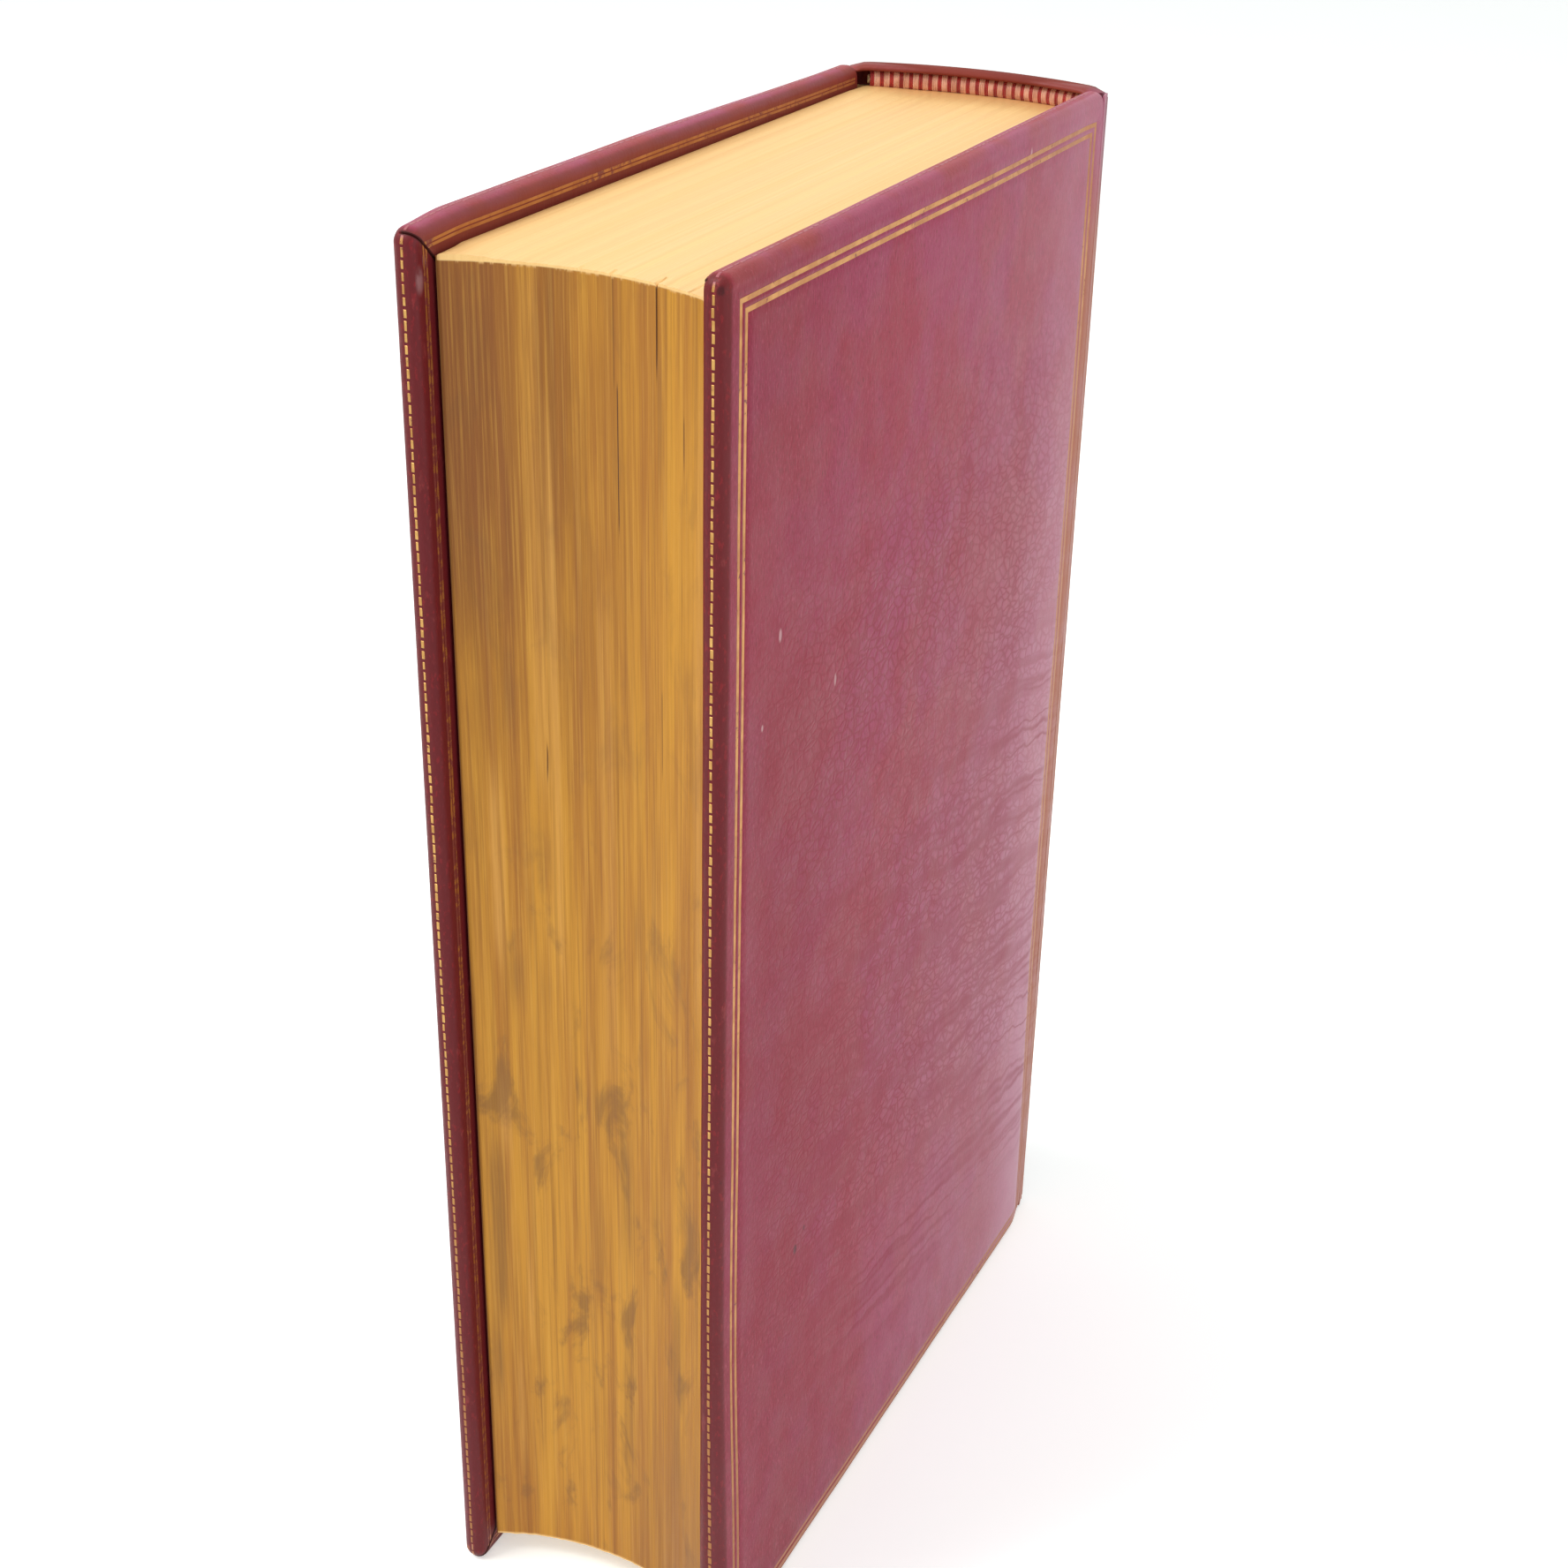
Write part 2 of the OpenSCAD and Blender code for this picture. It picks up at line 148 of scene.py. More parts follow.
LEAF_MARKS = (
    # place across in mm, lowest and highest point, half width, strength (below 0 for a bright streak)
    (-8.4, 150, 226, 1.8, -0.35), (-6.6, 120, 205, 1.2, -0.4), (-5.6, 196, 226, 0.9, 0.4),
    (-15.5, 120, 150, 1.4, -0.5), (11.3, 200, 216, 0.6, 0.5), (-8.6, 136, 139, 1.8, 0.45),
    (-13.1, 160, 169, 1.2, 0.45), (-13.4, 114, 120, 2.2, 0.6), (-9.2, 113, 117, 1.2, 0.4),
    (6.9, 126, 132, 1.4, 0.45), (-11.1, 127, 132, 1.0, 0.4), (-17.6, 52, 86, 1.8, 0.6),
    (-18.6, 36, 50, 1.2, 0.6), (4.4, 70, 92, 1.8, 0.4), (3.9, 26, 48, 1.4, 0.45),
    (13.8, 44, 66, 1.4, 0.45), (13.7, 26, 42, 1.4, 0.45), (9.7, 72, 82, 0.8, 0.4),
    (-1.3, 60, 78, 1.5, 0.35), (-16.0, 84, 98, 1.2, -0.5), (-15.3, 20, 42, 0.9, -0.45),
    (-13.2, 48, 64, 0.9, -0.35), (18.6, 120, 215, 1.4, -0.35), (1.5, 100, 180, 2.0, -0.2),
)
# Dents in the head of the fore-edge: place across and depth in mm
NOTCHES = ((3.5 * MM, 0.4), (10.85 * MM, 0.7), (-1.2 * MM, 0.25), (16.5 * MM, 0.25))

# Head and tail bands
BAND_R = BACK_R - 1.3 * MM
BAND_Z = {"head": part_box("head_band_core")[1].z - 0.8 * MM, "tail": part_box("tail_band_core")[0].z + 0.8 * MM}
THREAD_R = 0.2 * MM
THREAD_LEAN = math.radians(9)
BAND_STRETCH = 1.28
RIB_COUNT = 23
RIB_PITCH = 1.75 * MM
RIB_ANGLE = RIB_PITCH / BAND_R
CREAM_SHARE = 0.58

# Light and camera
FLOOR_WHITE = 0.42
AMBIENT = 0.5
CAMERA_PLACE = (0.3260394, 0.1552075, 0.3055743)
AZIMUTH, ELEVATION, ROLL = (math.radians(v) for v in (115.7187, 26.8895, 1.1788))
LENS = 54.6045


# Tools for modelling

def deselect():
    bpy.ops.object.select_all(action="DESELECT")


def work_on(piece):
    deselect()
    piece.select_set(True)
    bpy.context.view_layer.objects.active = piece


def open_piece(piece, mode="VERT"):
    work_on(piece)
    bpy.ops.object.mode_set(mode="EDIT")
    bpy.ops.mesh.select_mode(type=mode)
    bpy.ops.mesh.select_all(action="SELECT")


def close_piece():
    bpy.ops.object.mode_set(mode="OBJECT")


def set_right(piece):
    """Turns all faces outwards."""
    open_piece(piece)
    bpy.ops.mesh.normals_make_consistent(inside=False)
    close_piece()


def pick(piece, kind, test):
    """In edit mode, selects the piece's faces or edges that pass a test."""
    mesh = bmesh.from_edit_mesh(piece.data)
    for part in (mesh.faces, mesh.edges, mesh.verts):
        for one in part:
            one.select = False
    for one in getattr(mesh, kind):
        if test(one):
            one.select_set(True)
    mesh.select_flush_mode()
    bmesh.update_edit_mesh(piece.data)


def pick_faces(piece, test):
    """In edit mode, selects the faces whose middle and normal pass a test."""
    pick(piece, "faces", lambda f: test(f.calc_center_median(), f.normal))


def finish_modifiers(piece):
    work_on(piece)
    for modifier in list(piece.modifiers):
        bpy.ops.object.modifier_apply(modifier=modifier.name)


def block(name, low, high):
    """A plain block between two corners, to be shaped further."""
    deselect()
    low, high = Vector(low), Vector(high)
    bpy.ops.mesh.primitive_cube_add(size=1, location=(low + high) / 2, scale=high - low)
    piece = bpy.context.object
    piece.name = piece.data.name = name
    bpy.ops.object.transform_apply(location=True, rotation=True, scale=True)
    return piece


def extrude(move):
    bpy.ops.mesh.extrude_region_move(TRANSFORM_OT_translate={"value": move})


def pulled_up(name, points, low, high, closed=False):
    """A line drawn from point to point at one height and pulled up to another. Stays in edit mode."""
    deselect()
    points = [Vector((x, y, low)) for x, y in points]
    bpy.ops.mesh.primitive_plane_add(size=1, location=(0, 0, 0))
    piece = bpy.context.object
    piece.name = piece.data.name = name
    open_piece(piece)
    bpy.ops.mesh.merge(type="CENTER")
    bpy.ops.transform.translate(value=points[0])
    for a, b in zip(points, points[1:]):
        extrude(b - a)
    bpy.ops.mesh.select_all(action="SELECT")
    if closed:
        bpy.ops.mesh.edge_face_add()
    extrude((0, 0, high - low))
    return piece


def cut(axis, places):
    """In edit mode, cuts right through at these places along an axis."""
    normal = [0, 0, 0]
    normal[axis] = 1
    for place in places:
        point = [0, 0, 0]
        point[axis] = place
        bpy.ops.mesh.select_all(action="SELECT")
        bpy.ops.mesh.bisect(plane_co=point, plane_no=normal)


def spaced(low, high, step, lines=()):
    """Places from low to high, with all the lines among them and no gap over step."""
    stops = sorted({low, high, *(v for v in lines if low < v < high)})
    places = []
    for a, b in zip(stops, stops[1:]):
        count = max(1, math.ceil((b - a) / step - 0.01))
        places += [a + (b - a) * i / count for i in range(count)]
    return places[1:]


def at(value, place):
    return abs(value - place) < 1e-6


def smooth(value, low, high):
    """0 below low, 1 above high and smooth between."""
    t = min(1, max(0, (value - low) / (high - low)))
    return t * t * (3 - 2 * t)


def soften(piece, angle=40):
    work_on(piece)
    bpy.ops.object.shade_smooth_by_angle(angle=math.radians(angle))


def rounded(piece, width, share):
    """Rounds each edge by a share of the width, which depends on where its ends are."""
    mesh = piece.data
    kind = "bevel_weight_edge"
    weights = mesh.attributes.get(kind) or mesh.attributes.new(kind, "FLOAT", "EDGE")
    for edge in mesh.edges:
        weights.data[edge.index].value = share(*(mesh.vertices[i].co for i in edge.vertices))
    bevel = piece.modifiers.new("rounding", "BEVEL")
    bevel.limit_method = "WEIGHT"
    bevel.width = width
    bevel.segments = 6
    finish_modifiers(piece)


def thicken(piece, thickness, offset=-1):
    """Gives a skin its thickness: inwards (-1), outwards (1) or half to each side (0)."""
    wall = piece.modifiers.new("wall", "SOLIDIFY")
    wall.thickness = thickness
    wall.offset = offset
    wall.use_even_offset = False
    finish_modifiers(piece)


def lay_gold(skin, name, test):
    """Gold leaf on those faces of the leather whose middle and normal pass a test."""
    open_piece(skin, "FACE")
    pick_faces(skin, test)
    bpy.ops.mesh.duplicate()
    bpy.ops.mesh.separate(type="SELECTED")
    close_piece()
    gold = next(o for o in bpy.context.selected_objects if o != skin)
    gold.name = gold.data.name = name
    thicken(gold, LEAF_T, 1)
    return gold


def laid(piece, side):
    """Turns a piece made for the rear into a front one where the side is the front."""
    if side < 0:
        piece.data.transform(Matrix.Scale(-1, 4, (0, 1, 0)))
        piece.data.flip_normals()
        piece.data.update()


def finished(piece, finish, slot, body, *nodes):
    """Gives a piece its finish and its place in the frame, and hides the nodes that it stands for."""
    piece.data.materials.clear()
    piece.data.materials.append(finish)
    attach(piece, body)
    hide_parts(*nodes)


# Tools for finishes

def srgb(r, g, b):
    """A colour as it looks, from 0 to 255, as the light that it gives back."""
    return tuple(((v / 255 + 0.055) / 1.055) ** 2.4 if v > 10 else v / 255 / 12.92 for v in (r, g, b)) + (1,)


class Recipe:
    """A finish being mixed. Colours are given as they look, from 0 to 255."""

    def __init__(self, name):
        self.material = bpy.data.materials.new(name)
        self.material.use_nodes = True
        self.tree = self.material.node_tree
        self.shader = self.tree.nodes["Principled BSDF"]
        self.place = self.node("ShaderNodeTexCoord").outputs["Object"]
        self.x, self.y, self.z = self.node("ShaderNodeSeparateXYZ", {"Vector": self.place}).outputs
        self.from_fore = self.less(X_FORE, self.x)
        self.from_head = self.less(HEIGHT, self.z)
        self.from_middle = self.math("ABSOLUTE", self.y)

    def put(self, socket, value):
        if isinstance(value, bpy.types.NodeSocket):
            self.tree.links.new(value, socket)
        else:
            socket.default_value = value

    def node(self, kind, inputs=None, **settings):
        node = self.tree.nodes.new(kind)
        for key, value in settings.items():
            setattr(node, key, value)
        for key, value in (inputs or {}).items():
            self.put(node.inputs[key], value)
        return node

    def set(self, **sockets):
        for key, value in sockets.items():
            self.put(self.shader.inputs[key.replace("_", " ")], value)

    def mapped(self, waves=1, turn=(0, 0, 0), source=None):
        """Object coordinates, turned and stretched to so many waves a metre, for all axes or one for each."""
        waves = waves if isinstance(waves, tuple) else (waves, waves, waves)
        inputs = {"Vector": source or self.place, "Rotation": turn, "Scale": waves}
        return self.node("ShaderNodeMapping", inputs).outputs["Vector"]

    def noise(self, waves, detail=2, rough=0.5, distortion=0, source=None):
        return self.node("ShaderNodeTexNoise", {
            "Vector": self.mapped(waves, source=source), "Scale": 1, "Detail": detail, "Roughness": rough,
            "Distortion": distortion,
        }).outputs["Fac"]

    def cells(self, waves, feature="F1", source=None):
        inputs = {"Vector": self.mapped(waves, source=source), "Scale": 1}
        return self.node("ShaderNodeTexVoronoi", inputs, feature=feature).outputs["Distance"]

    def math(self, operation, a, b=0):
        return self.node("ShaderNodeMath", {0: a, 1: b}, operation=operation).outputs[0]

    def vector(self, operation, a, b=(0, 0, 0)):
        return self.node("ShaderNodeVectorMath", {0: a, 1: b}, operation=operation).outputs

    def combined(self, operation, first, others):
        for one in others:
            first = self.math(operation, first, one)
        return first

    def times(self, first, *others):
        return self.combined("MULTIPLY", first, others)

    def plus(self, first, *others):
        return self.combined("ADD", first, others)

    def most(self, first, *others):
        return self.combined("MAXIMUM", first, others)

    def less(self, a, b):
        return self.math("SUBTRACT", a, b)

    def away(self, a, b):
        """How far apart two values are."""
        return self.math("ABSOLUTE", self.less(a, b))

    def ramp(self, value, low, high, to_low=0, to_high=1):
        return self.node("ShaderNodeMapRange", {
            "Value": value, "From Min": low, "From Max": high, "To Min": to_low, "To Max": to_high,
        }, interpolation_type="SMOOTHSTEP").outputs["Result"]

    def blend(self, share, a, b):
        a, b = (srgb(*v) if isinstance(v, tuple) else v for v in (a, b))
        return self.node("ShaderNodeMix", {0: share, 6: a, 7: b}, data_type="RGBA").outputs[2]

    def over(self, colour, tint, *shares):
        """A colour with a tint laid over it, by the product of the shares."""
        return self.blend(self.times(*shares), colour, tint)

    def bump(self, height, depth, strength=1, below=None):
        inputs = {"Height": height, "Distance": depth, "Strength": strength}
        if below is not None:
            inputs["Normal"] = below
        return self.node("ShaderNodeBump", inputs).outputs["Normal"]

    def spot(self, centre, half):
        """1 in the middle of a small mark, 0 outside it. Its place and half size are in mm."""
        away = self.vector("SUBTRACT", self.place, [v * MM for v in centre])[0]
        away = self.vector("MULTIPLY", away, [1 / (v * MM) for v in half])[0]
        return self.ramp(self.vector("LENGTH", away)["Value"], 1, 0.4)


# Finishes

def creases(r, outer):
    """Long creases, nearly level and dipping towards the spine, over a net of fine ones."""
    wobble = r.noise(230)
    bend = r.times(r.less(r.noise(38, 3, 0.6), 0.5), 0.007)
    up = r.plus(bend, r.times(r.less(wobble, 0.5), 0.0022))
    shift = r.node("ShaderNodeCombineXYZ", {"X": r.times(wobble, 0.002), "Z": up}).outputs[0]
    place = r.vector("ADD", r.mapped(turn=(0, CREASE_DIP, 0)), shift)[0]
    ridge = r.ramp(r.away(r.noise((14, 14, 360), 1, 0.3, source=place), 0.5), 0.12, 0)
    net = r.ramp(r.cells((380, 380, 660), "DISTANCE_TO_EDGE", place), 0.24, 0)
    patch = r.noise(26)
    creased = r.times(
        r.ramp(r.z, 0.012, 0.04), r.ramp(r.z, 0.17, 0.11), r.ramp(r.x, 0.07, 0.03),
        r.ramp(patch, 0.25, 0.6, 0.55, 1))
    crumpled = r.times(
        r.ramp(r.x, 0.073, 0.045, 0.25, 1), r.ramp(r.z, 0.215, 0.16, 0.12, 1),
        r.ramp(patch, 0.7, 0.4, 0.6, 1), outer,
        r.ramp(r.x, -0.058, -0.03, 0.35, 1), r.ramp(r.z, 0.03, 0.07, 0.15, 1))
    return r.most(r.times(ridge, creased), r.times(net, crumpled))


def worn_shaded_and_highlit_edges(r, colour, tones, mottle, rub):
    """Edges, inner faces and spine are darker and redder, partly from handling and partly as painted shade, and
    the head edge has a painted pale highlight.
    """
    # Darker edges: partly wear, partly painted shade along the fore-edge, the tail, the inner faces and the
    # joint
    dark = r.most(
        r.ramp(r.from_fore, 1.9 * MM, 1.0 * MM), r.ramp(r.z, 2.0 * MM, 0.5 * MM),
        r.ramp(r.from_middle, Y_IN + 1.0 * MM, Y_IN + 0.3 * MM),
        r.ramp(r.x, X_EDGE + 0.2 * MM, X_EDGE - 0.8 * MM))
    colour = r.over(colour, (100, 27, 29), dark, 0.9)
    speck = r.ramp(r.noise((1900, 1900, 800), 3, 0.6), 0.56, 0.66)
    colour = r.over(colour, (140, 34, 40), speck, r.ramp(r.from_fore, 1.6 * MM, 1.0 * MM), 0.6)
    colour = r.over(colour, (150, 62, 62), dark, r.ramp(rub, 0.58, 0.72), 0.5)
    # Painted highlight: a pale pink band along the head edge
    pale = r.blend(r.ramp(tones, 0.42, 0.58), (164, 84, 76), (172, 96, 118))
    return r.over(
        colour, pale, r.ramp(r.from_head, 2.6 * MM, 0.5 * MM),
        r.ramp(r.from_fore, 0.5 * MM, 3.0 * MM),
        r.ramp(r.x, SPINE_LOW.x + 1.5 * MM, SPINE_LOW.x + 4 * MM), r.ramp(mottle, 0.3, 0.7, 0.5, 0.9), 0.65)


def turned_in(r, colour, tones):
    """The turned-in leather is browner along the head, and its mitred folds get painted shade."""
    colour = r.over(
        colour, (134, 58, 46), r.ramp(r.from_head, TURN_IN, 3 * MM),
        r.ramp(r.from_middle, Y_IN + 1.3 * MM, Y_IN - 0.2 * MM),
        r.ramp(r.less(r.from_fore, r.from_head), 0.1 * MM, 0.6 * MM), r.ramp(tones, 0.35, 0.65, 0.5, 0.8))
    to_fold = r.math("MINIMUM", r.away(r.from_fore, r.z), r.away(r.from_fore, r.from_head))
    reach = r.ramp(r.y, 0, 1 * MM, FOLD_REACH[-1], FOLD_REACH[1])
    # Painted shade along the mitred folds
    return r.over(
        colour, (62, 24, 20), r.ramp(to_fold, 0.5 * MM, 0.2 * MM),
        r.ramp(r.less(r.from_middle, reach), 0.2 * MM, -0.2 * MM),
        r.ramp(r.from_fore, TURN_IN, TURN_IN - MM), 0.9)


def small_marks(r, colour, rub):
    """A few pale scuffs and dark specks."""
    worn = r.ramp(rub, 0.36, 0.56)
    for centre, half, share, ragged in SCUFFS:
        colour = r.over(colour, (206, 168, 170), r.spot(centre, half), worn if ragged else 1, share)
    for centre, half in SPECKS:
        colour = r.over(colour, (60, 20, 24), r.spot(centre, half), 0.75)
    return colour


def painted_sheen_and_tan_bands(r, colour, outer, lines, cloud, mottle):
    """A painted sheen on the outer faces, growing towards spine and tail, and a tan band at the joint and the
    tail.
    """
    # Painted sheen: a pale pink cast that grows towards the spine, the tail and the joint
    sheen_gradient = r.plus(r.ramp(r.x, 0.062, -0.072, 0, 0.8), r.times(r.ramp(r.z, 0.2, 0.02), 0.28))
    sheen_by_joint = r.times(r.ramp(r.x, -0.035, -0.06, 0, 0.7), r.ramp(r.z, 0.215, 0.17, 0.25, 1))
    colour = r.over(
        colour, (210, 160, 178), r.plus(r.times(sheen_gradient, sheen_gradient), sheen_by_joint), r.ramp(cloud, 0.2, 0.7, 0.85, 1.1),
        r.less(1, r.times(lines, 0.6)), outer, PAINTED_SHEEN)
    tan = r.times(
        r.ramp(r.x, X_EDGE + 5.6 * MM, X_EDGE + 4.6 * MM), r.ramp(r.from_head, 8 * MM, 30 * MM),
        r.ramp(mottle, 0.3, 0.6, 0.8, 1.1))
    tail = LINE_INSETS["tail"]
    tan = r.most(tan, r.ramp(r.z, tail + 1.6 * MM, tail + 0.9 * MM))
    return r.over(colour, (172, 108, 76), tan, outer, 0.75)


def morocco():
    """Burgundy goatskin with a fine upright grain, crumpled into long creases towards the spine."""
    r = Recipe("burgundy_morocco")
    outer = r.ramp(r.from_middle, Y_OUT - 1.5 * MM, Y_OUT - 1.0 * MM)
    grain = r.noise((3000, 3000, 900), 3, 0.7)
    pores = r.cells((1300, 1300, 900), "SMOOTH_F1")
    lines = creases(r, outer)
    cloud = r.noise(14, 3, 0.6)
    mottle = r.noise((160, 160, 110), 3, 0.6)
    tones = r.noise((55, 55, 45), 3, 0.65)
    rub = r.noise((420, 420, 160), 4, 0.7)
    colour = r.blend(r.ramp(tones, 0.38, 0.62), (150, 35, 58), (151, 42, 82))
    # Painted shade: the cover is darker towards the fore-edge, where it shows less sheen
    colour = r.over(colour, (128, 30, 46), r.ramp(r.x, 0.01, 0.064), 0.6)
    colour = r.over(colour, (160, 52, 80), r.ramp(cloud, 0.4, 0.7), 0.3)
    colour = r.over(colour, (134, 34, 46), r.ramp(mottle, 0.55, 0.8), 0.25)
    colour = r.over(colour, (116, 26, 40), r.ramp(grain, 0.5, 0.7), 0.8)
    colour = r.over(colour, (178, 78, 98), r.ramp(grain, 0.46, 0.3), 0.55)
    # Darker creases: partly the leather's own colour, partly painted shade in the hollows
    colour = r.over(colour, (132, 14, 40), lines, 0.65)
    colour = worn_shaded_and_highlit_edges(r, colour, tones, mottle, rub)
    cap = r.times(
        r.ramp(r.x, -0.0655, -0.0672), r.ramp(r.from_head, 6 * MM, 3 * MM),
        r.ramp(r.from_middle, 0.0228, 0.0216))
    colour = r.over(colour, (84, 22, 22), cap, 0.9)
    colour = small_marks(r, turned_in(r, colour, tones), rub)
    r.set(Base_Color=painted_sheen_and_tan_bands(r, colour, outer, lines, cloud, mottle), Specular_IOR_Level=0.2)
    r.set(Roughness=r.most(r.ramp(mottle, 0.3, 0.7, 0.4, 0.5), r.times(cap, 0.8)))
    normal = r.bump(r.less(r.times(grain, 0.8), r.times(pores, 0.6)), 0.08 * MM, 0.6)
    normal = r.bump(r.times(lines, -1), 0.07 * MM, 0.5, normal)
    r.set(Normal=r.bump(r.noise(90), 0.25 * MM, 0.5, normal))
    return r.material


def gold_tooling(name="gold_tooling", worn=0, pale=False):
    """Gold leaf pressed into leather: broken where it shows through, dull along the head, joint and tail."""
    r = Recipe(name)
    wear = r.noise(900, 4, 0.7)
    rubbed = r.plus(wear, r.times(r.noise(70), 0.35))
    if worn:
        rubbed = r.plus(rubbed, r.ramp(r.from_fore, 5 * MM, 3.6 * MM, 0, 0.12))
    broken = r.ramp(rubbed, 0.8 - 0.08 * worn, 0.9 - 0.06 * worn)
    tone = r.ramp(r.noise(300, 3), 0.3, 0.7)
    if pale:
        gold = r.blend(r.ramp(r.z, 0.03, 0.13), (166, 110, 60), r.blend(tone, (178, 126, 62), (214, 166, 92)))
    else:
        gold = r.blend(tone, (184, 120, 60), (212, 152, 84))
        gold = r.over(gold, (160, 96, 54), r.ramp(r.z, 0.1, 0.01), 0.75)
    gold = r.over(gold, (150, 84, 44), 0.5 * worn)
    gold = r.over(gold, (168, 104, 72), r.ramp(r.x, 0.01, -0.05), r.ramp(r.z, 0.21, 0.22, 0, 0.5))
    head = r.ramp(r.from_head, 1.8 * MM, 0.8 * MM)
    joint = r.times(
        r.ramp(r.x, X_EDGE + 6.5 * MM, X_EDGE + 5.4 * MM),
        r.ramp(r.from_head, 6 * MM, 60 * MM, 0.1, 0.85))
    dull = r.most(head, joint, r.times(r.ramp(r.z, 4.6 * MM, 3.6 * MM), 0.7))
    gold = r.over(gold, r.blend(head, (182, 118, 84), (160, 82, 90)), dull)
    r.set(Base_Color=r.over(gold, (122, 52, 50), broken))
    r.set(Metallic=r.times(r.less(1, broken), 0.5, r.less(1, dull)))
    r.set(Roughness=r.ramp(wear, 0.3, 0.7, 0.36, 0.52))
    r.set(Normal=r.bump(wear, 0.05 * MM, 0.6))
    return r.material


def marked_leaves(r, colour, lines, wide):
    """Long dark marks and bright streaks along the fore-edge."""
    for place, low, high, half, share in LEAF_MARKS:
        near = r.plus(r.away(r.y, place * MM), r.times(r.less(wide, 0.5), 1.2 * half * MM))
        tint = (118, 76, 38) if share > 0 else (226, 168, 84)
        colour = r.over(
            colour, tint, r.ramp(near, half * MM, 0.3 * half * MM), r.ramp(lines, 0.62, 0.4, 0.35, 1),
            r.ramp(r.z, (low - 6) * MM, (low + 6) * MM), r.ramp(r.z, (high + 6) * MM, (high - 6) * MM),
            abs(share))
    return colour


def split_leaves(r, colour):
    """Painted shade in the splits between leaves that have parted."""
    for place, low, high, depth, dark in SPLITS:
        colour = r.over(
            colour, (70, 34, 22), r.ramp(r.away(r.y, place), 1.6 * SPLIT_W, 0.4 * SPLIT_W),
            r.ramp(r.z, low - 2 * MM, low + 2 * MM), r.ramp(r.z, high + MM, high - MM), dark)
    return colour


def leaf_ends(r, colour, lines):
    """A pale ragged line along the head of the fore-edge, and the clean gold of the head and the tail."""
    below = r.less(LEAVES_HIGH.z, r.z)
    torn = r.ramp(r.noise((300, 1500, 300)), 0.48, 0.62)
    colour = r.over(colour, (226, 178, 112), r.ramp(below, 1.0 * MM, 0.5 * MM), torn)
    clean = r.blend(r.ramp(lines, 0.35, 0.7), (248, 206, 138), (242, 196, 128))
    clean = r.over(clean, (206, 154, 98), r.ramp(r.x, -0.058, -0.066), 0.5)
    top = r.ramp(below, 0.7 * MM, 0.45 * MM)
    bottom = r.ramp(r.z, LEAVES_LOW.z + 0.7 * MM, LEAVES_LOW.z + 0.25 * MM)
    return r.over(colour, clean, r.most(top, bottom))


def gilt_leaves():
    """The leaves' gilt edges, worn and streaked brown on the fore-edge, clean and pale at the head."""
    r = Recipe("gilt_leaf_edges")
    fine = r.noise((40, 3400, 34), 3, 0.6)
    lines = r.noise((5, 1300, 16), 4, 0.65)
    bands = r.noise((6, 330, 11), 5, 0.65)
    wide = r.noise((10, 190, 16), 4, 0.65)
    smudge = r.noise((60, 150, 60), 5, 0.6, 0.6)
    colour = r.blend(r.ramp(bands, 0.34, 0.66), (169, 108, 33), (203, 143, 46))
    # Browner towards the head, most of all by the front cover
    colour = r.over(
        colour, (138, 82, 30), r.ramp(r.y, 14 * MM, -12 * MM), r.ramp(r.z, 0.12, 0.2),
        r.ramp(wide, 0.38, 0.58, 0.2, 0.8))
    corner = r.times(r.ramp(r.y, -9.0 * MM, -11.5 * MM), r.ramp(r.z, 0.165, 0.195))
    colour = r.over(colour, (134, 78, 38), corner, 0.55)
    colour = r.over(colour, (134, 82, 30), r.ramp(lines, 0.48, 0.7), 0.4)
    colour = r.over(colour, (220, 166, 72), r.ramp(fine, 0.48, 0.7), 0.3)
    colour = r.over(colour, (126, 76, 30), r.ramp(fine, 0.45, 0.28), 0.3)
    colour = marked_leaves(r, colour, lines, wide)
    # Dirt in soft clouds, mostly lower down, and a browner corner at the tail
    colour = r.over(colour, (120, 80, 42), r.ramp(smudge, 0.52, 0.68), r.ramp(r.z, 0.15, 0.1, 0.2, 0.6))
    colour = r.over(colour, (140, 88, 36), r.ramp(r.y, -2 * MM, 14 * MM), r.ramp(r.z, 0.05, 0.015), 0.45)
    colour = leaf_ends(r, split_leaves(r, colour), lines)
    r.set(Base_Color=colour, Metallic=0.25, Specular_IOR_Level=0.35)
    r.set(Roughness=r.ramp(bands, 0.3, 0.7, 0.38, 0.5))
    r.set(Normal=r.bump(r.plus(r.times(lines, 0.6), r.times(fine, 0.4)), 0.16 * MM, 0.7))
    return r.material


def endpaper():
    """Ivory endpaper, browned where the turned-in leather lay against it. Its trimmed edges are gilt."""
    r = Recipe("ivory_endpaper")
    fibres = r.noise((900, 900, 1600), 4, 0.7)
    colour = r.blend(r.ramp(r.noise(20, 4, 0.6), 0.35, 0.65), (233, 221, 192), (226, 210, 176))
    colour = r.over(colour, (206, 188, 150), fibres, 0.15)
    browned = r.most(
        r.ramp(r.from_fore, 16 * MM, 12 * MM), r.ramp(r.z, 16 * MM, 12 * MM),
        r.ramp(r.from_head, 16 * MM, 12 * MM))
    colour = r.over(colour, (196, 164, 120), browned, 0.3)
    ends = r.most(
        r.ramp(r.z, FLY_HIGH.z - 0.5 * MM, FLY_HIGH.z - 0.2 * MM),
        r.ramp(r.z, FLY_LOW.z + 0.5 * MM, FLY_LOW.z + 0.2 * MM))
    colour = r.over(colour, (240, 198, 134), ends)
    colour = r.over(colour, (140, 90, 40), r.ramp(r.x, FLY_HIGH.x - 0.6 * MM, FLY_HIGH.x - 0.3 * MM))
    r.set(Base_Color=colour, Roughness=0.85)
    r.set(Normal=r.bump(fibres, 0.03 * MM, 0.5))
    return r.material


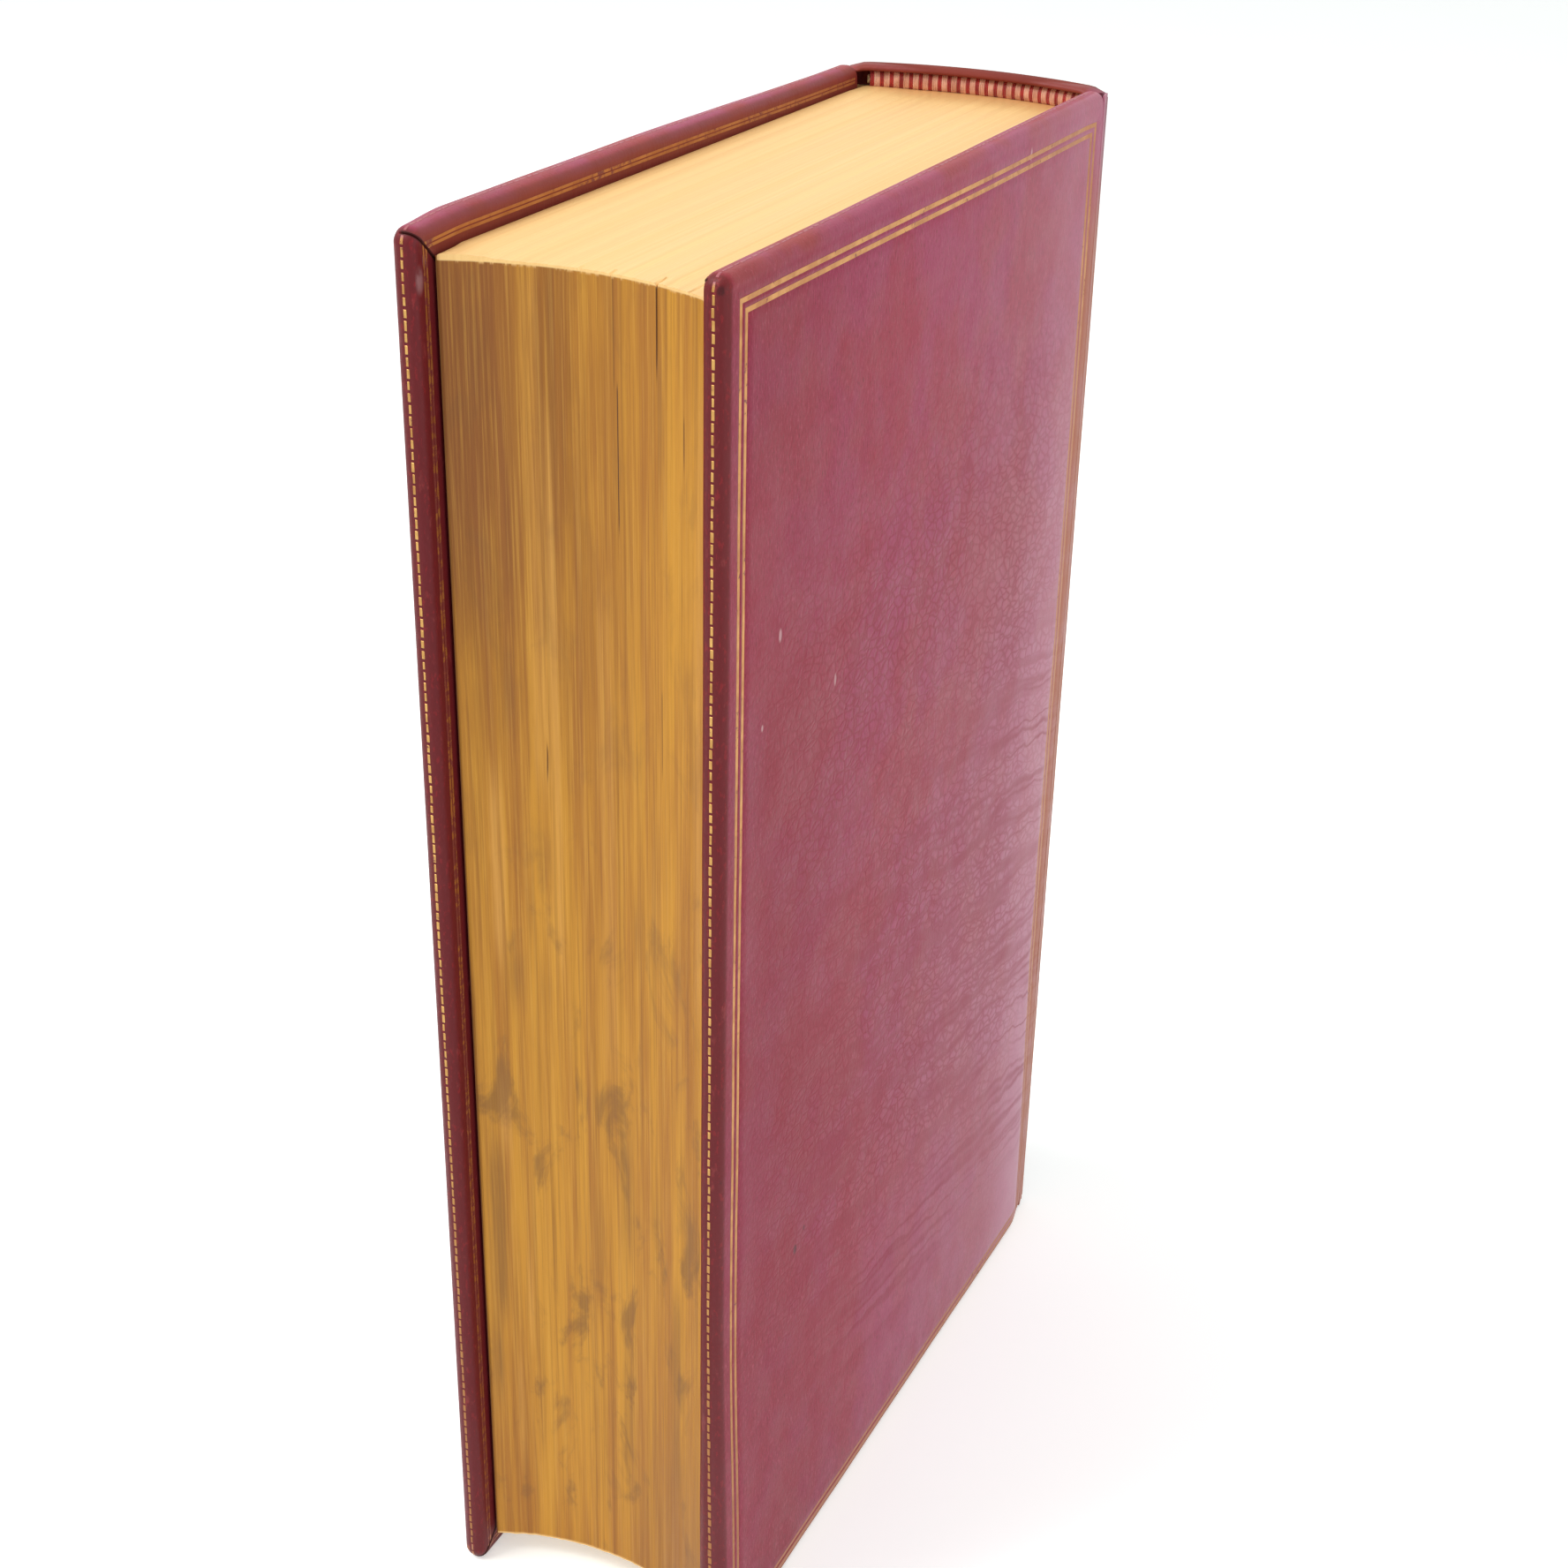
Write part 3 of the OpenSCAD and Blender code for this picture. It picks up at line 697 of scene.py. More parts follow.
def millboard():
    """Grey-brown pasteboard with short fibres."""
    r = Recipe("millboard")
    fibres = r.noise((700, 1500, 700), 4, 0.7)
    colour = r.blend(fibres, (150, 132, 104), (178, 160, 130))
    colour = r.over(colour, (112, 96, 74), r.ramp(r.cells((500, 900, 500)), 0.2, 0.1))
    r.set(Base_Color=colour, Roughness=0.9)
    r.set(Normal=r.bump(fibres, 0.08 * MM, 0.7))
    return r.material


def twisted_hemp():
    """Plied hemp cord, with its twist running round it."""
    r = Recipe("plied_hemp")
    twist = r.node("ShaderNodeTexWave", {
        "Vector": r.mapped(turn=(math.radians(38), 0, 0)), "Scale": 420, "Distortion": 1.5,
    }, bands_direction="Y").outputs["Fac"]
    r.set(Base_Color=r.blend(twist, (150, 128, 92), (206, 186, 148)), Roughness=0.85)
    r.set(Normal=r.bump(r.plus(twist, r.times(r.noise(2500, 3), 0.3)), 0.2 * MM, 0.8))
    return r.material


def lining_paper():
    """Coarse brown paper glued over the backs of the leaves."""
    r = Recipe("lining_paper")
    fibres = r.noise((900, 900, 500), 4, 0.7)
    colour = r.blend(fibres, (168, 142, 104), (194, 170, 130))
    colour = r.over(colour, (138, 104, 66), r.ramp(r.noise(120, 3), 0.5, 0.7))
    r.set(Base_Color=colour, Roughness=0.85)
    r.set(Normal=r.bump(fibres, 0.05 * MM, 0.6))
    return r.material


def silk(name, dark, light):
    """Silk thread, with fine fibres along it."""
    r = Recipe(name)
    fibres = r.noise((2600, 9000, 2600), 3, 0.6)
    colour = r.blend(r.ramp(r.noise(500), 0.3, 0.7), dark, light)
    colour = r.over(colour, dark, r.ramp(fibres, 0.4, 0.7), 0.35)
    r.set(Base_Color=colour, Roughness=0.5, Sheen_Weight=0.25)
    r.set(Normal=r.bump(fibres, 0.05 * MM, 0.6))
    return r.material


# Covers

def inward(x, z):
    """How far inside the outer gilt line a point of a cover's outer face is."""
    return min(X_FORE - LINE_INSETS["fore"] - x, x - X_EDGE - LINE_INSETS["joint"],
               HEIGHT - LINE_INSETS["head"] - z, z - LINE_INSETS["tail"])


def pressed(x, z):
    """How deep the fillet tool has pressed the leather there."""
    s = inward(x, z)
    depth = 0
    for start in (0, LINE_PITCH):
        off = max(start - s, s - start - LINE_W)
        depth = max(depth, 1 - smooth(off, 0, GROOVE_SLOPE))
    return GROOVE_DEPTH * depth


def on_fillet(middle, normal):
    s = inward(middle.x, middle.z)
    on_line = 0 < s < LINE_W or LINE_PITCH < s < LINE_PITCH + LINE_W
    return on_line and normal.y > 0.7 and middle.y > Y_OUT - 0.6 * MM


def on_turn_in(middle, normal):
    s = min(X_FORE - middle.x, HEIGHT - middle.z, middle.z)
    on_line = any(a < s < b for a, b in INNER_LINES)
    return on_line and normal.y < -0.7 and middle.x > X_EDGE + NIP_R


def relief(point, seed):
    """The leather's own unevenness over the board."""
    x, z = point.x, point.z
    p = Vector((x, seed, z))
    soft = noise.noise(p * 45) * 0.05 + noise.noise(p * 110) * 0.025
    where = smooth(z, 0.03, 0.07) * (1 - smooth(z, 0.11, 0.165)) * (1 - smooth(x, 0.0, 0.06))
    q = Vector((x * 26 - z * 4, seed * 3, (z - x * 0.16) * 150))
    crease = 1 - abs(noise.noise(q)) * 3.2
    return (soft + where * max(0, crease) * -0.07) * MM


def warped(piece, side):
    """The boards have swollen: the rear one stands out towards the tail, the front one along the head."""
    for vertex in piece.data.vertices:
        x, y, z = vertex.co
        near = smooth(x, X_EDGE + 0.5 * MM, X_EDGE + 9 * MM)
        through = max(0, (y - Y_IN) / (Y_OUT - Y_IN)) * near
        if side > 0:
            sunk = REAR_SINK * smooth(z, 0.15, HEIGHT) * (1 - smooth(x, -0.06, 0))
            out = REAR_SWELL * (1 - smooth(z, 0, 0.075)) - sunk
        else:
            bow = smooth(x, -0.06, 0.015) * (1 - smooth(x, 0.061, X_FORE))
            out = FRONT_SWELL * bow * smooth(z, 0.17, HEIGHT)
            vertex.co.z += FRONT_RISE * bow * smooth(z, HEIGHT - 12 * MM, HEIGHT - MM)
        vertex.co.y += through * out
    piece.data.update()


def corner_share(a, b):
    """Rounds the four edges through the thickness, less at the fore corners than at the joint."""
    if abs(a.y - b.y) < MM:
        return 0
    return CORNER_R / NIP_R if at(a.x, X_FORE) else 1


def rim_share(a, b):
    """Rounds the edges of both faces, less at the joint and there on the outer face alone."""
    if not at(a.y, b.y):
        return 0
    if at(a.x, X_EDGE) and at(b.x, X_EDGE):
        return JOINT_R / EDGE_R if at(a.y, Y_OUT) else 0
    return 1


def cover_shell(name):
    """The leather round a board, open inside and at the joint, cut along every line of its tooling."""
    skin = block(name, COVER_LOW, COVER_HIGH)
    rounded(skin, NIP_R, corner_share)
    rounded(skin, EDGE_R, rim_share)
    lines = [k * LINE_PITCH + v for k in range(2) for v in (-GROOVE_SLOPE, 0, LINE_W, LINE_W + GROOVE_SLOPE)]
    inner = [v for pair in INNER_LINES for v in pair] + [TURN_IN]
    across = [X_FORE - LINE_INSETS["fore"] - v for v in lines]
    across += [X_EDGE + LINE_INSETS["joint"] + v for v in lines] + [X_FORE - v for v in inner]
    upright = [HEIGHT - LINE_INSETS["head"] - v for v in lines] + [LINE_INSETS["tail"] + v for v in lines]
    upright += [v for w in inner for v in (w, HEIGHT - w)]
    open_piece(skin, "FACE")
    cut(0, [X_FORE - TURN_IN])
    cut(2, [TURN_IN, HEIGHT - TURN_IN])
    pick_faces(skin, lambda m, n: m.x < X_EDGE + 1e-5 or (
        at(m.y, Y_IN) and m.x < X_FORE - TURN_IN and TURN_IN < m.z < HEIGHT - TURN_IN))
    bpy.ops.mesh.delete(type="FACE")
    cut(0, spaced(X_EDGE + JOINT_R, X_FORE - EDGE_R, GRID_STEP, across))
    cut(2, spaced(EDGE_R, HEIGHT - EDGE_R, GRID_STEP, upright))
    # The mitred folds at the two fore corners
    for z, way in ((0, 1), (HEIGHT, -1)):
        for off in FOLD_CUTS:
            pick_faces(skin, lambda m, n: m.y < Y_OUT - 1.1 * MM and m.x > X_FORE - TURN_IN - MM
                       and abs(m.z - z) < TURN_IN + MM)
            bpy.ops.mesh.bisect(plane_co=(X_FORE - off, 0, z), plane_no=(1, 0, way))
    close_piece()
    return skin


def work_leather(skin, side):
    """Lets the leather rise and fall, presses the fillets into it and laps the mitred folds."""
    seed = 2.3 if side > 0 else 9.1
    vertices = skin.data.vertices
    normals = [v.normal.copy() for v in vertices]
    for vertex, normal in zip(vertices, normals):
        x, y, z = vertex.co
        outer = smooth(y, Y_OUT - 0.5 * MM, Y_OUT - 0.02 * MM)
        move = Vector((0, 0, 0))
        if outer:
            edge_fade = smooth(inward(x, z) + 4 * MM, 0, 4 * MM)
            move.y += outer * (relief(vertex.co, seed) * edge_fade - pressed(x, z))
        else:
            under_dashes = smooth(abs(y - MID_Y), 0.35 * MM, 0.9 * MM)
            move += normal * noise.noise(Vector((x, seed + y, z)) * 60) * 0.06 * MM * under_dashes
        if y < FOLD_REACH[side] and X_FORE - x < TURN_IN + MM:
            over = (X_FORE - x - min(z, HEIGHT - z)) / math.sqrt(2)
            lip = (1 - smooth(over, 0.2 * MM, 0.7 * MM)) * 0.12 if over > 0.08 * MM else 0
            move += normal * (lip - (1 - smooth(abs(over), 0, 0.16 * MM)) * 0.25) * MM
        vertex.co += move
    skin.data.update()


def raise_fillet(piece):
    """The fillet along the head was tooled a little askew, nearer the edge at the fore corner."""
    for vertex in piece.data.vertices:
        x, y, z = vertex.co
        if y > Y_OUT - 0.9 * MM:
            band = smooth(z, HEIGHT - 20 * MM, HEIGHT - 7.2 * MM)
            band *= 1 - smooth(z, HEIGHT - 4.4 * MM, HEIGHT - 1.2 * MM)
            vertex.co.z += FILLET_RISE * band * smooth(x, X_EDGE, X_FORE)
    piece.data.update()


def cover_leather(side):
    """Leather drawn over a board, turned in and mitred, and the gold lines on both its faces."""
    skin = cover_shell(SIDES[side] + "_cover_skin")
    work_leather(skin, side)
    fillets = lay_gold(skin, SIDES[side] + "_fillet_gold", on_fillet)
    inner_gold = lay_gold(skin, SIDES[side] + "_turn_in_gold", on_turn_in)
    thicken(skin, SKIN_T)
    for piece in (skin, fillets):
        raise_fillet(piece)
    for piece in (skin, fillets, inner_gold):
        warped(piece, side)
        laid(piece, side)
        soften(piece)
    return skin, fillets, inner_gold


RIM_ACROSS = X_FORE - CORNER_R - X_EDGE - NIP_R
RIM_UP = HEIGHT - 2 * CORNER_R
RIM_ARC = CORNER_R * math.pi / 2
RIM_LENGTH = 2 * (RIM_ACROSS + RIM_ARC) + RIM_UP


def rim(s):
    """A point on a cover's edge and the way out from it, so far along the edge from the joint at the tail."""
    if s < RIM_ACROSS:
        return Vector((X_EDGE + NIP_R + s, MID_Y, 0)), Vector((0, 0, -1))
    s -= RIM_ACROSS
    if s < RIM_ARC:
        out = Vector((math.sin(s / CORNER_R), 0, -math.cos(s / CORNER_R)))
        return Vector((X_FORE - CORNER_R, MID_Y, CORNER_R)) + out * CORNER_R, out
    s -= RIM_ARC
    if s < RIM_UP:
        return Vector((X_FORE, MID_Y, CORNER_R + s)), Vector((1, 0, 0))
    s -= RIM_UP
    if s < RIM_ARC:
        out = Vector((math.cos(s / CORNER_R), 0, math.sin(s / CORNER_R)))
        return Vector((X_FORE - CORNER_R, MID_Y, HEIGHT - CORNER_R)) + out * CORNER_R, out
    return Vector((X_FORE - CORNER_R - s + RIM_ARC, MID_Y, HEIGHT)), Vector((0, 0, 1))


def dash_starts():
    """Where the dashes begin along a cover's edge, from one mitred fold to the next."""
    low_fold = RIM_ACROSS + RIM_ARC / 2
    high_fold = RIM_LENGTH - low_fold
    starts = []
    for low, high in ((DASH_END, low_fold - FOLD_GAP), (low_fold + FOLD_GAP, high_fold - FOLD_GAP),
                      (high_fold + FOLD_GAP, RIM_LENGTH - DASH_END)):
        count = int((high - low + DASH_GAP) / (DASH_L + DASH_GAP))
        step = (high - low + DASH_GAP) / count
        starts += [low + i * step for i in range(count)]
    return starts


def dashes(side):
    """Short gilt dashes along the middle of a cover's edges, no two quite alike."""
    random.seed(7 if side > 0 else 11)
    dash = block(SIDES[side] + "_edge_dashes", (0, -DASH_W / 2, -0.08 * MM), (DASH_L, DASH_W / 2, 0.05 * MM))
    open_piece(dash)
    cut(0, [DASH_L / 4, DASH_L / 2, DASH_L * 3 / 4])
    close_piece()
    worn = dash.modifiers.new("worn ends", "BEVEL")
    worn.width = 0.04 * MM
    worn.segments = 1
    finish_modifiers(dash)
    size = len(dash.data.vertices)
    starts = dash_starts()
    row = dash.modifiers.new("row", "ARRAY")
    row.count = len(starts)
    finish_modifiers(dash)
    for i, start in enumerate(starts):
        long, wide = random.uniform(0.88, 1.1), random.uniform(0.75, 1.15)
        slide = random.uniform(-0.05, 0.05) * MM
        for v in dash.data.vertices[i * size:(i + 1) * size]:
            along = start + DASH_L / 2 + (v.co.x - i * DASH_L - DASH_L / 2) * long
            point, out = rim(min(RIM_LENGTH, max(0, along)))
            v.co = point + out * v.co.z + Vector((0, v.co.y * wide + slide, 0))
    warped(dash, side)
    laid(dash, side)
    return dash


# Leaves

def lifted(x, z):
    """How far the outermost leaves stand off the block, towards the cover."""
    inside = smooth(x, X_LEATHER + MM, X_LEATHER + 8 * MM)
    inside *= 1 - smooth(x, FLY_HIGH.x - 5 * MM, FLY_HIGH.x - 0.6 * MM)
    return LEAF_LIFT * inside * (0.85 + 0.15 * noise.noise(Vector((x * 30, 2, z * 20))))


def flyleaf(side):
    """The free endpaper, lying a little proud of the leaves between its edges."""
    leaf = block(SIDES[side] + "_free_endpaper", FLY_LOW, FLY_HIGH)
    lines = [X_LEATHER + v * MM for v in (1, 2, 4, 6)] + [FLY_HIGH.x - v * MM for v in (0.6, 1.6, 2.8, 4)]
    open_piece(leaf)
    cut(0, spaced(FLY_LOW.x, FLY_HIGH.x, 5 * MM, lines))
    cut(2, spaced(FLY_LOW.z, FLY_HIGH.z, 8 * MM))
    close_piece()
    for vertex in leaf.data.vertices:
        vertex.co.y += lifted(vertex.co.x, vertex.co.z)
    leaf.data.update()
    laid(leaf, side)
    soften(leaf)
    return leaf


def leaves_outline():
    """The leaves seen from the head: hollow at the fore-edge, with shoulders and a round back."""
    land = HALF_T * HOLLOW_SHARE
    hollow_r = (land ** 2 + FORE_HOLLOW ** 2) / (2 * FORE_HOLLOW)
    x_pages = LEAVES_HIGH.x
    tip_x, tip_y = X_LEATHER - 1.2 * MM, SHOULDER_Y - 0.6 * MM
    back_angle = math.asin(tip_y / BACK_R)
    points = [(x_pages, -HALF_T), (x_pages, -land)]
    for i in range(1, 40):
        y = -land + 2 * land * i / 40
        points.append((x_pages - FORE_HOLLOW + hollow_r - math.sqrt(hollow_r ** 2 - y ** 2), y))
    points += [(x_pages, land), (x_pages, HALF_T), (X_LEATHER, HALF_T), (tip_x, tip_y)]
    for i in range(41):
        a = back_angle - 2 * back_angle * i / 40
        points.append((X_CENTRE - BACK_R * math.cos(a), BACK_R * math.sin(a)))
    return points + [(tip_x, -tip_y), (X_LEATHER, -HALF_T)]


def fore_push(y, z):
    """How far a leaf stands proud at the fore-edge, in mm."""
    push = noise.noise(Vector((z * 6, y * 900, 3))) * 0.09 + noise.noise(Vector((z * 9, y * 260, 8))) * 0.12
    for place, low, high, depth, dark in SPLITS:
        reach = smooth(z, low - 3 * MM, low + 3 * MM) * (1 - smooth(z, high + MM, high + 4 * MM))
        push -= (1 - smooth(abs(y - place), 0.2 * SPLIT_W, SPLIT_W)) * reach * depth / MM
    return push


def end_lift(x, y, front, head):
    """How far a leaf stands proud at the head or the tail, in mm. The front edge is notched at the head."""
    fine, broad = noise.noise(Vector((x * 8, y * 700, 5))), noise.noise(Vector((x * 5, y * 150, 1)))
    lift = fine * 0.05 + broad * 0.05 - 0.06
    if front:
        lift -= 0.1 + abs(noise.noise(Vector((2, y * 420, 7)))) * 0.25
        for place, drop in NOTCHES if head else ():
            lift -= drop * (1 - smooth(abs(y - place), 0.02 * MM, 0.22 * MM))
    return lift


def leaves():
    """The leaves in one block, each group standing a hair proud."""
    book = pulled_up("gilt_leaves", leaves_outline(), LEAVES_LOW.z, LEAVES_HIGH.z, closed=True)
    x_pages = LEAVES_HIGH.x
    sides = [s[0] + d for s in SPLITS for d in (-SPLIT_W, 0, SPLIT_W)] + [n[0] for n in NOTCHES]
    cut(1, spaced(-HALF_T, HALF_T, LEAF_STEP, sides))
    cut(2, spaced(LEAVES_LOW.z, LEAVES_HIGH.z, 4 * MM))
    cut(0, [x_pages - v * MM for v in (0.6, 1.6, 2.8, 4, 6)])
    cut(0, [0.03, 0, -0.03] + [X_LEATHER + v * MM for v in (1, 2, 4, 6, 8)])
    close_piece()
    set_right(book)
    for vertex in book.data.vertices:
        x, y, z = vertex.co
        vertex.co.y += math.copysign(lifted(x, z) * smooth(abs(y), HALF_T - 4 * MM, HALF_T), y)
        if abs(y) > HALF_T - 0.2 * MM or x < X_LEATHER + MM:
            continue
        front = x > x_pages - FORE_HOLLOW - MM
        if front:
            vertex.co.x += fore_push(y, z) * MM
        if abs(z - LEAVES_HIGH.z) < MM:
            vertex.co.z += HEAD_LIFT * (1 - smooth(y, -18 * MM, -10 * MM)) + end_lift(x, y, front, True) * MM
        elif abs(z - LEAVES_LOW.z) < MM:
            vertex.co.z -= end_lift(x, y, front, False) * MM
    book.data.update()
    soften(book, 30)
    return book


# Spine

def spine_outline():
    """The spine seen from the head: a shoulder with a round corner at each side of a long curve."""
    turn = math.pi / 2 - SPINE_ANGLE
    inset = SPINE_CORNER * math.tan(turn / 2)
    x_mid = X_LEATHER - SHOULDER_W + inset
    y_mid = SHOULDER_Y - SPINE_CORNER
    points = [(X_LEATHER, -SHOULDER_Y), (X_LEATHER - 0.6 * MM, -SHOULDER_Y)]
    for i in range(6):
        a = turn * i / 5
        points.append((x_mid - SPINE_CORNER * math.sin(a), -y_mid - SPINE_CORNER * math.cos(a)))
    shoulder = [(x, -y) for x, y in reversed(points)]
    edge = SPINE_ANGLE - math.asin(inset / SPINE_R)
    for i in range(45):
        a = -edge + 2 * edge * i / 44
        points.append((X_CENTRE - SPINE_R * math.cos(a), SPINE_R * math.sin(a)))
    return points + shoulder


def fold_caps(skin):
    """Folds the leather inwards over the band at each end, in edit mode."""
    bpy.ops.mesh.select_mode(type="EDGE")
    for end, way in ((HEIGHT - CAP_R, 1), (CAP_R, -1)):
        pick(skin, "edges", lambda e: len(e.link_faces) == 1 and all(
            at(v.co.z, end) and v.co.x < X_LEATHER - SHOULDER_W + 1e-5 for v in e.verts))
        r, z = SPINE_R, end
        for radius, height in CAP_FOLD:
            new_z = end + way * height
            extrude((0, 0, new_z - z))
            bpy.ops.transform.resize(value=(radius / r, radius / r, 1), center_override=(X_CENTRE, 0, new_z))
            r, z = radius, new_z


def spine_share(point):
    """0 in the middle of the spine's width, 1 at the shoulders."""
    return abs(math.atan2(point.y, X_CENTRE - point.x)) / SPINE_ANGLE


def band_height(point):
    """How far the leather stands out over a sewing cord."""
    fade = 1 - smooth(spine_share(point), 0.6, 0.99)
    away = min(abs(point.z - z) for z in CORD_Z)
    return BAND_RISE * fade * (1 - smooth(away, 0.5 * MM, 2.8 * MM))


def work_spine(skin):
    """Draws the leather over the cords and lets the caps' ends droop."""
    for vertex in skin.data.vertices:
        p = vertex.co
        if p.x < X_LEATHER - 1.2 * MM:
            out = Vector((p.x - X_CENTRE, p.y, 0)).normalized()
            p += out * (band_height(p) + noise.noise(p * 60) * 0.05 * MM)
        end = min(p.z, HEIGHT - p.z)
        droop = smooth(spine_share(p), 0.86, 1.0) * (1 - smooth(end, 0, 4 * MM)) * 0.7 * MM
        p.z += droop if p.z < HEIGHT / 2 else -droop
    skin.data.update()


def on_rule(middle, normal):
    beside_band = any(abs(abs(middle.z - z) - RULE_OFFSET) < RULE_W / 2 for z in CORD_Z)
    return beside_band and spine_share(middle) < RULE_SHARE and middle.x < X_LEATHER - SHOULDER_W


def spine_leather():
    """The spine's leather with five raised bands and a cap folded over each end, and its gilt rules."""
    skin = pulled_up("spine_skin", spine_outline(), CAP_R, HEIGHT - CAP_R)
    rows = []
    for z in CORD_Z:
        rows += [z + d * 0.35 * MM for d in range(-9, 10)]
        rows += [z + s * (RULE_OFFSET + e * RULE_W / 2) for s in (-1, 1) for e in (-1, 1)]
    cut(2, spaced(CAP_R, HEIGHT - CAP_R, 3 * MM, rows))
    fold_caps(skin)
    close_piece()
    set_right(skin)
    work_spine(skin)
    rules = lay_gold(skin, "spine_rules_gold", on_rule)
    thicken(skin, SKIN_T)
    soften(rules)
    soften(skin, 60)
    return skin, rules


# Head and tail bands

def thread_ring(z, radius):
    """One turn of silk thread round the core, at the middle of the spine."""
    deselect()
    bpy.ops.mesh.primitive_torus_add(
        major_radius=radius, minor_radius=THREAD_R, major_segments=22, minor_segments=6,
        location=(X_CENTRE - BAND_R, 0, z), rotation=(math.pi / 2, 0, THREAD_LEAN))
    ring = bpy.context.object
    bpy.ops.object.transform_apply(location=True, rotation=True, scale=True)
    open_piece(ring)
    bpy.ops.transform.resize(value=(1, 1, BAND_STRETCH), center_override=(0, 0, z))
    close_piece()
    return ring


def wound_silk(name, z, radius, turns, first, width):
    """Ribs of thread along the band: so many turns a rib, from first over width of each rib's angle."""
    ring = thread_ring(z, radius)
    about = Matrix.Translation((X_CENTRE, 0, 0))
    rings = []
    for i in range(RIB_COUNT):
        for k in range(turns):
            angle = (i + first + width * (k + 0.5) / turns - RIB_COUNT / 2) * RIB_ANGLE
            copy = ring.copy()
            copy.data = ring.data.copy()
            copy.data.transform(about @ Matrix.Rotation(angle, 4, "Z") @ about.inverted())
            bpy.context.collection.objects.link(copy)
            rings.append(copy)
    bpy.data.objects.remove(ring)
    work_on(rings[0])
    for one in rings:
        one.select_set(True)
    bpy.ops.object.join()
    piece = bpy.context.object
    piece.name = piece.data.name = name
    soften(piece, 80)
    return piece


# Joints

def outer_joint(side):
    """The covering leather where it runs over the joint, from the spine's shoulder to the board."""
    top, low = Y_OUT - 0.12 * MM, SHOULDER_Y - 0.1 * MM
    points = []
    for i in range(13):
        t = i / 12
        x = X_LEATHER - 1.1 * MM + t * (X_EDGE - X_LEATHER + 2.3 * MM)
        points.append((x, low + (top - low) * smooth(t, 0.15, 0.9)))
    end = 0.7 * MM
    strip = pulled_up(SIDES[side] + "_joint_leather", points, end, HEIGHT - end)
    cut(2, spaced(end, HEIGHT - end, 8 * MM))
    close_piece()
    thicken(strip, 0.3 * MM, 0)
    set_right(strip)
    warped(strip, side)
    laid(strip, side)
    soften(strip, 60)
    return strip


def inner_joint(side):
    """The fold of the endpaper, between the flyleaf and the pasted leaf."""
    left, right = X_LEATHER + 0.07 * MM, X_EDGE - 0.07 * MM
    bottom = Y_OUT - 0.75 * MM
    low_left, low_right = FLY_LOW.y + 0.12 * MM, Y_IN + 0.12 * MM
    points = [(left, low_left + (bottom - low_left) * i / 6) for i in range(7)]
    points += [(left + (right - left) * i / 4, bottom + 0.06 * MM) for i in range(1, 4)]
    points += [(right, bottom + (low_right - bottom) * i / 6) for i in range(7)]
    strip = pulled_up(SIDES[side] + "_endpaper_fold", points, LEAVES_LOW.z, LEAVES_HIGH.z)
    close_piece()
    thicken(strip, 0.08 * MM, 0)
    set_right(strip)
    laid(strip, side)
    soften(strip, 60)
    return strip


def bending(strip, finish):
    """Gives a strip its finish and bakes its place into its mesh."""
    strip.data.materials.append(finish)
    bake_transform(strip)


# Building the book

leather = morocco()
gold = gold_tooling()
worn_gold = gold_tooling("worn_gold_tooling", worn=1)
dash_gold = gold_tooling("gilt_dashes", pale=True)
paper = endpaper()
board = millboard()
hemp = twisted_hemp()
lining = lining_paper()
cream = silk("cream_silk", (206, 146, 124), (236, 186, 164))
red = silk("red_silk", (142, 26, 28), (184, 46, 44))

for side, which in SIDES.items():
    body = which + "_cover"
    skin, fillets, inner_gold = cover_leather(side)
    finished(skin, leather, "covering_leather", body, which + "_cover_leather")
    finished(fillets, gold, "gold_leaf", body, which + "_gilt_fillets")
    finished(inner_gold, worn_gold, "gold_leaf", body, which + "_turn_in_gilt")
    finished(dashes(side), dash_gold, "gold_leaf", body, which + "_edge_gilt")
    bending(outer_joint(side), leather)
    bending(inner_joint(side), paper)
    finished(flyleaf(side), paper, "endpaper", "book_block", which + "_flyleaf")

finished(leaves(), gilt_leaves(), "gilt_edged_leaves", "book_block", "text_block")
spine, rules = spine_leather()
finished(spine, leather, "covering_leather", "book_block", "spine_leather")
finished(rules, gold, "gold_leaf", "book_block", "spine_gilt_rules")
for which, z in BAND_Z.items():
    threads = wound_silk(which + "_band_cream_threads", z, 1.08 * MM, 3, 0, CREAM_SHARE)
    finished(threads, cream, "cream_silk", "book_block", which + "_band_cream_silk")
    threads = wound_silk(which + "_band_red_threads", z, 1.06 * MM, 2, CREAM_SHARE, 1 - CREAM_SHARE)
    finished(threads, red, "red_silk", "book_block", which + "_band_red_silk")

for name, finish in {
    "front_pastedown": paper, "rear_pastedown": paper,
    "sewing_cords": hemp, "front_cord_slips": hemp, "rear_cord_slips": hemp, "head_band_core": hemp,
    "tail_band_core": hemp, "spine_lining": lining, "front_board": board, "rear_board": board,
}.items():
    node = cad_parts[name]
    node.data.materials.clear()
    node.data.materials.append(finish)


# Floor, light and camera

def floor():
    """A wide pale floor that keeps the book's soft shadow."""
    deselect()
    bpy.ops.mesh.primitive_plane_add(size=8, location=(0, 0, -0.02 * MM))
    ground = bpy.context.object
    ground.name = "floor"
    bpy.ops.object.transform_apply(location=True, rotation=True, scale=True)
    r = Recipe("pale_floor")
    r.set(Base_Color=r.blend(r.noise(9, 3), (241, 247, 246), (244, 251, 250)))
    r.set(Roughness=0.7, Specular_IOR_Level=0.1)
    path = r.node("ShaderNodeLightPath").outputs
    seen = r.most(path["Is Camera Ray"], path["Is Glossy Ray"])
    r.set(Emission_Color=(1, 1, 1, 1), Emission_Strength=r.times(seen, FLOOR_WHITE))
    ground.data.materials.append(r.material)


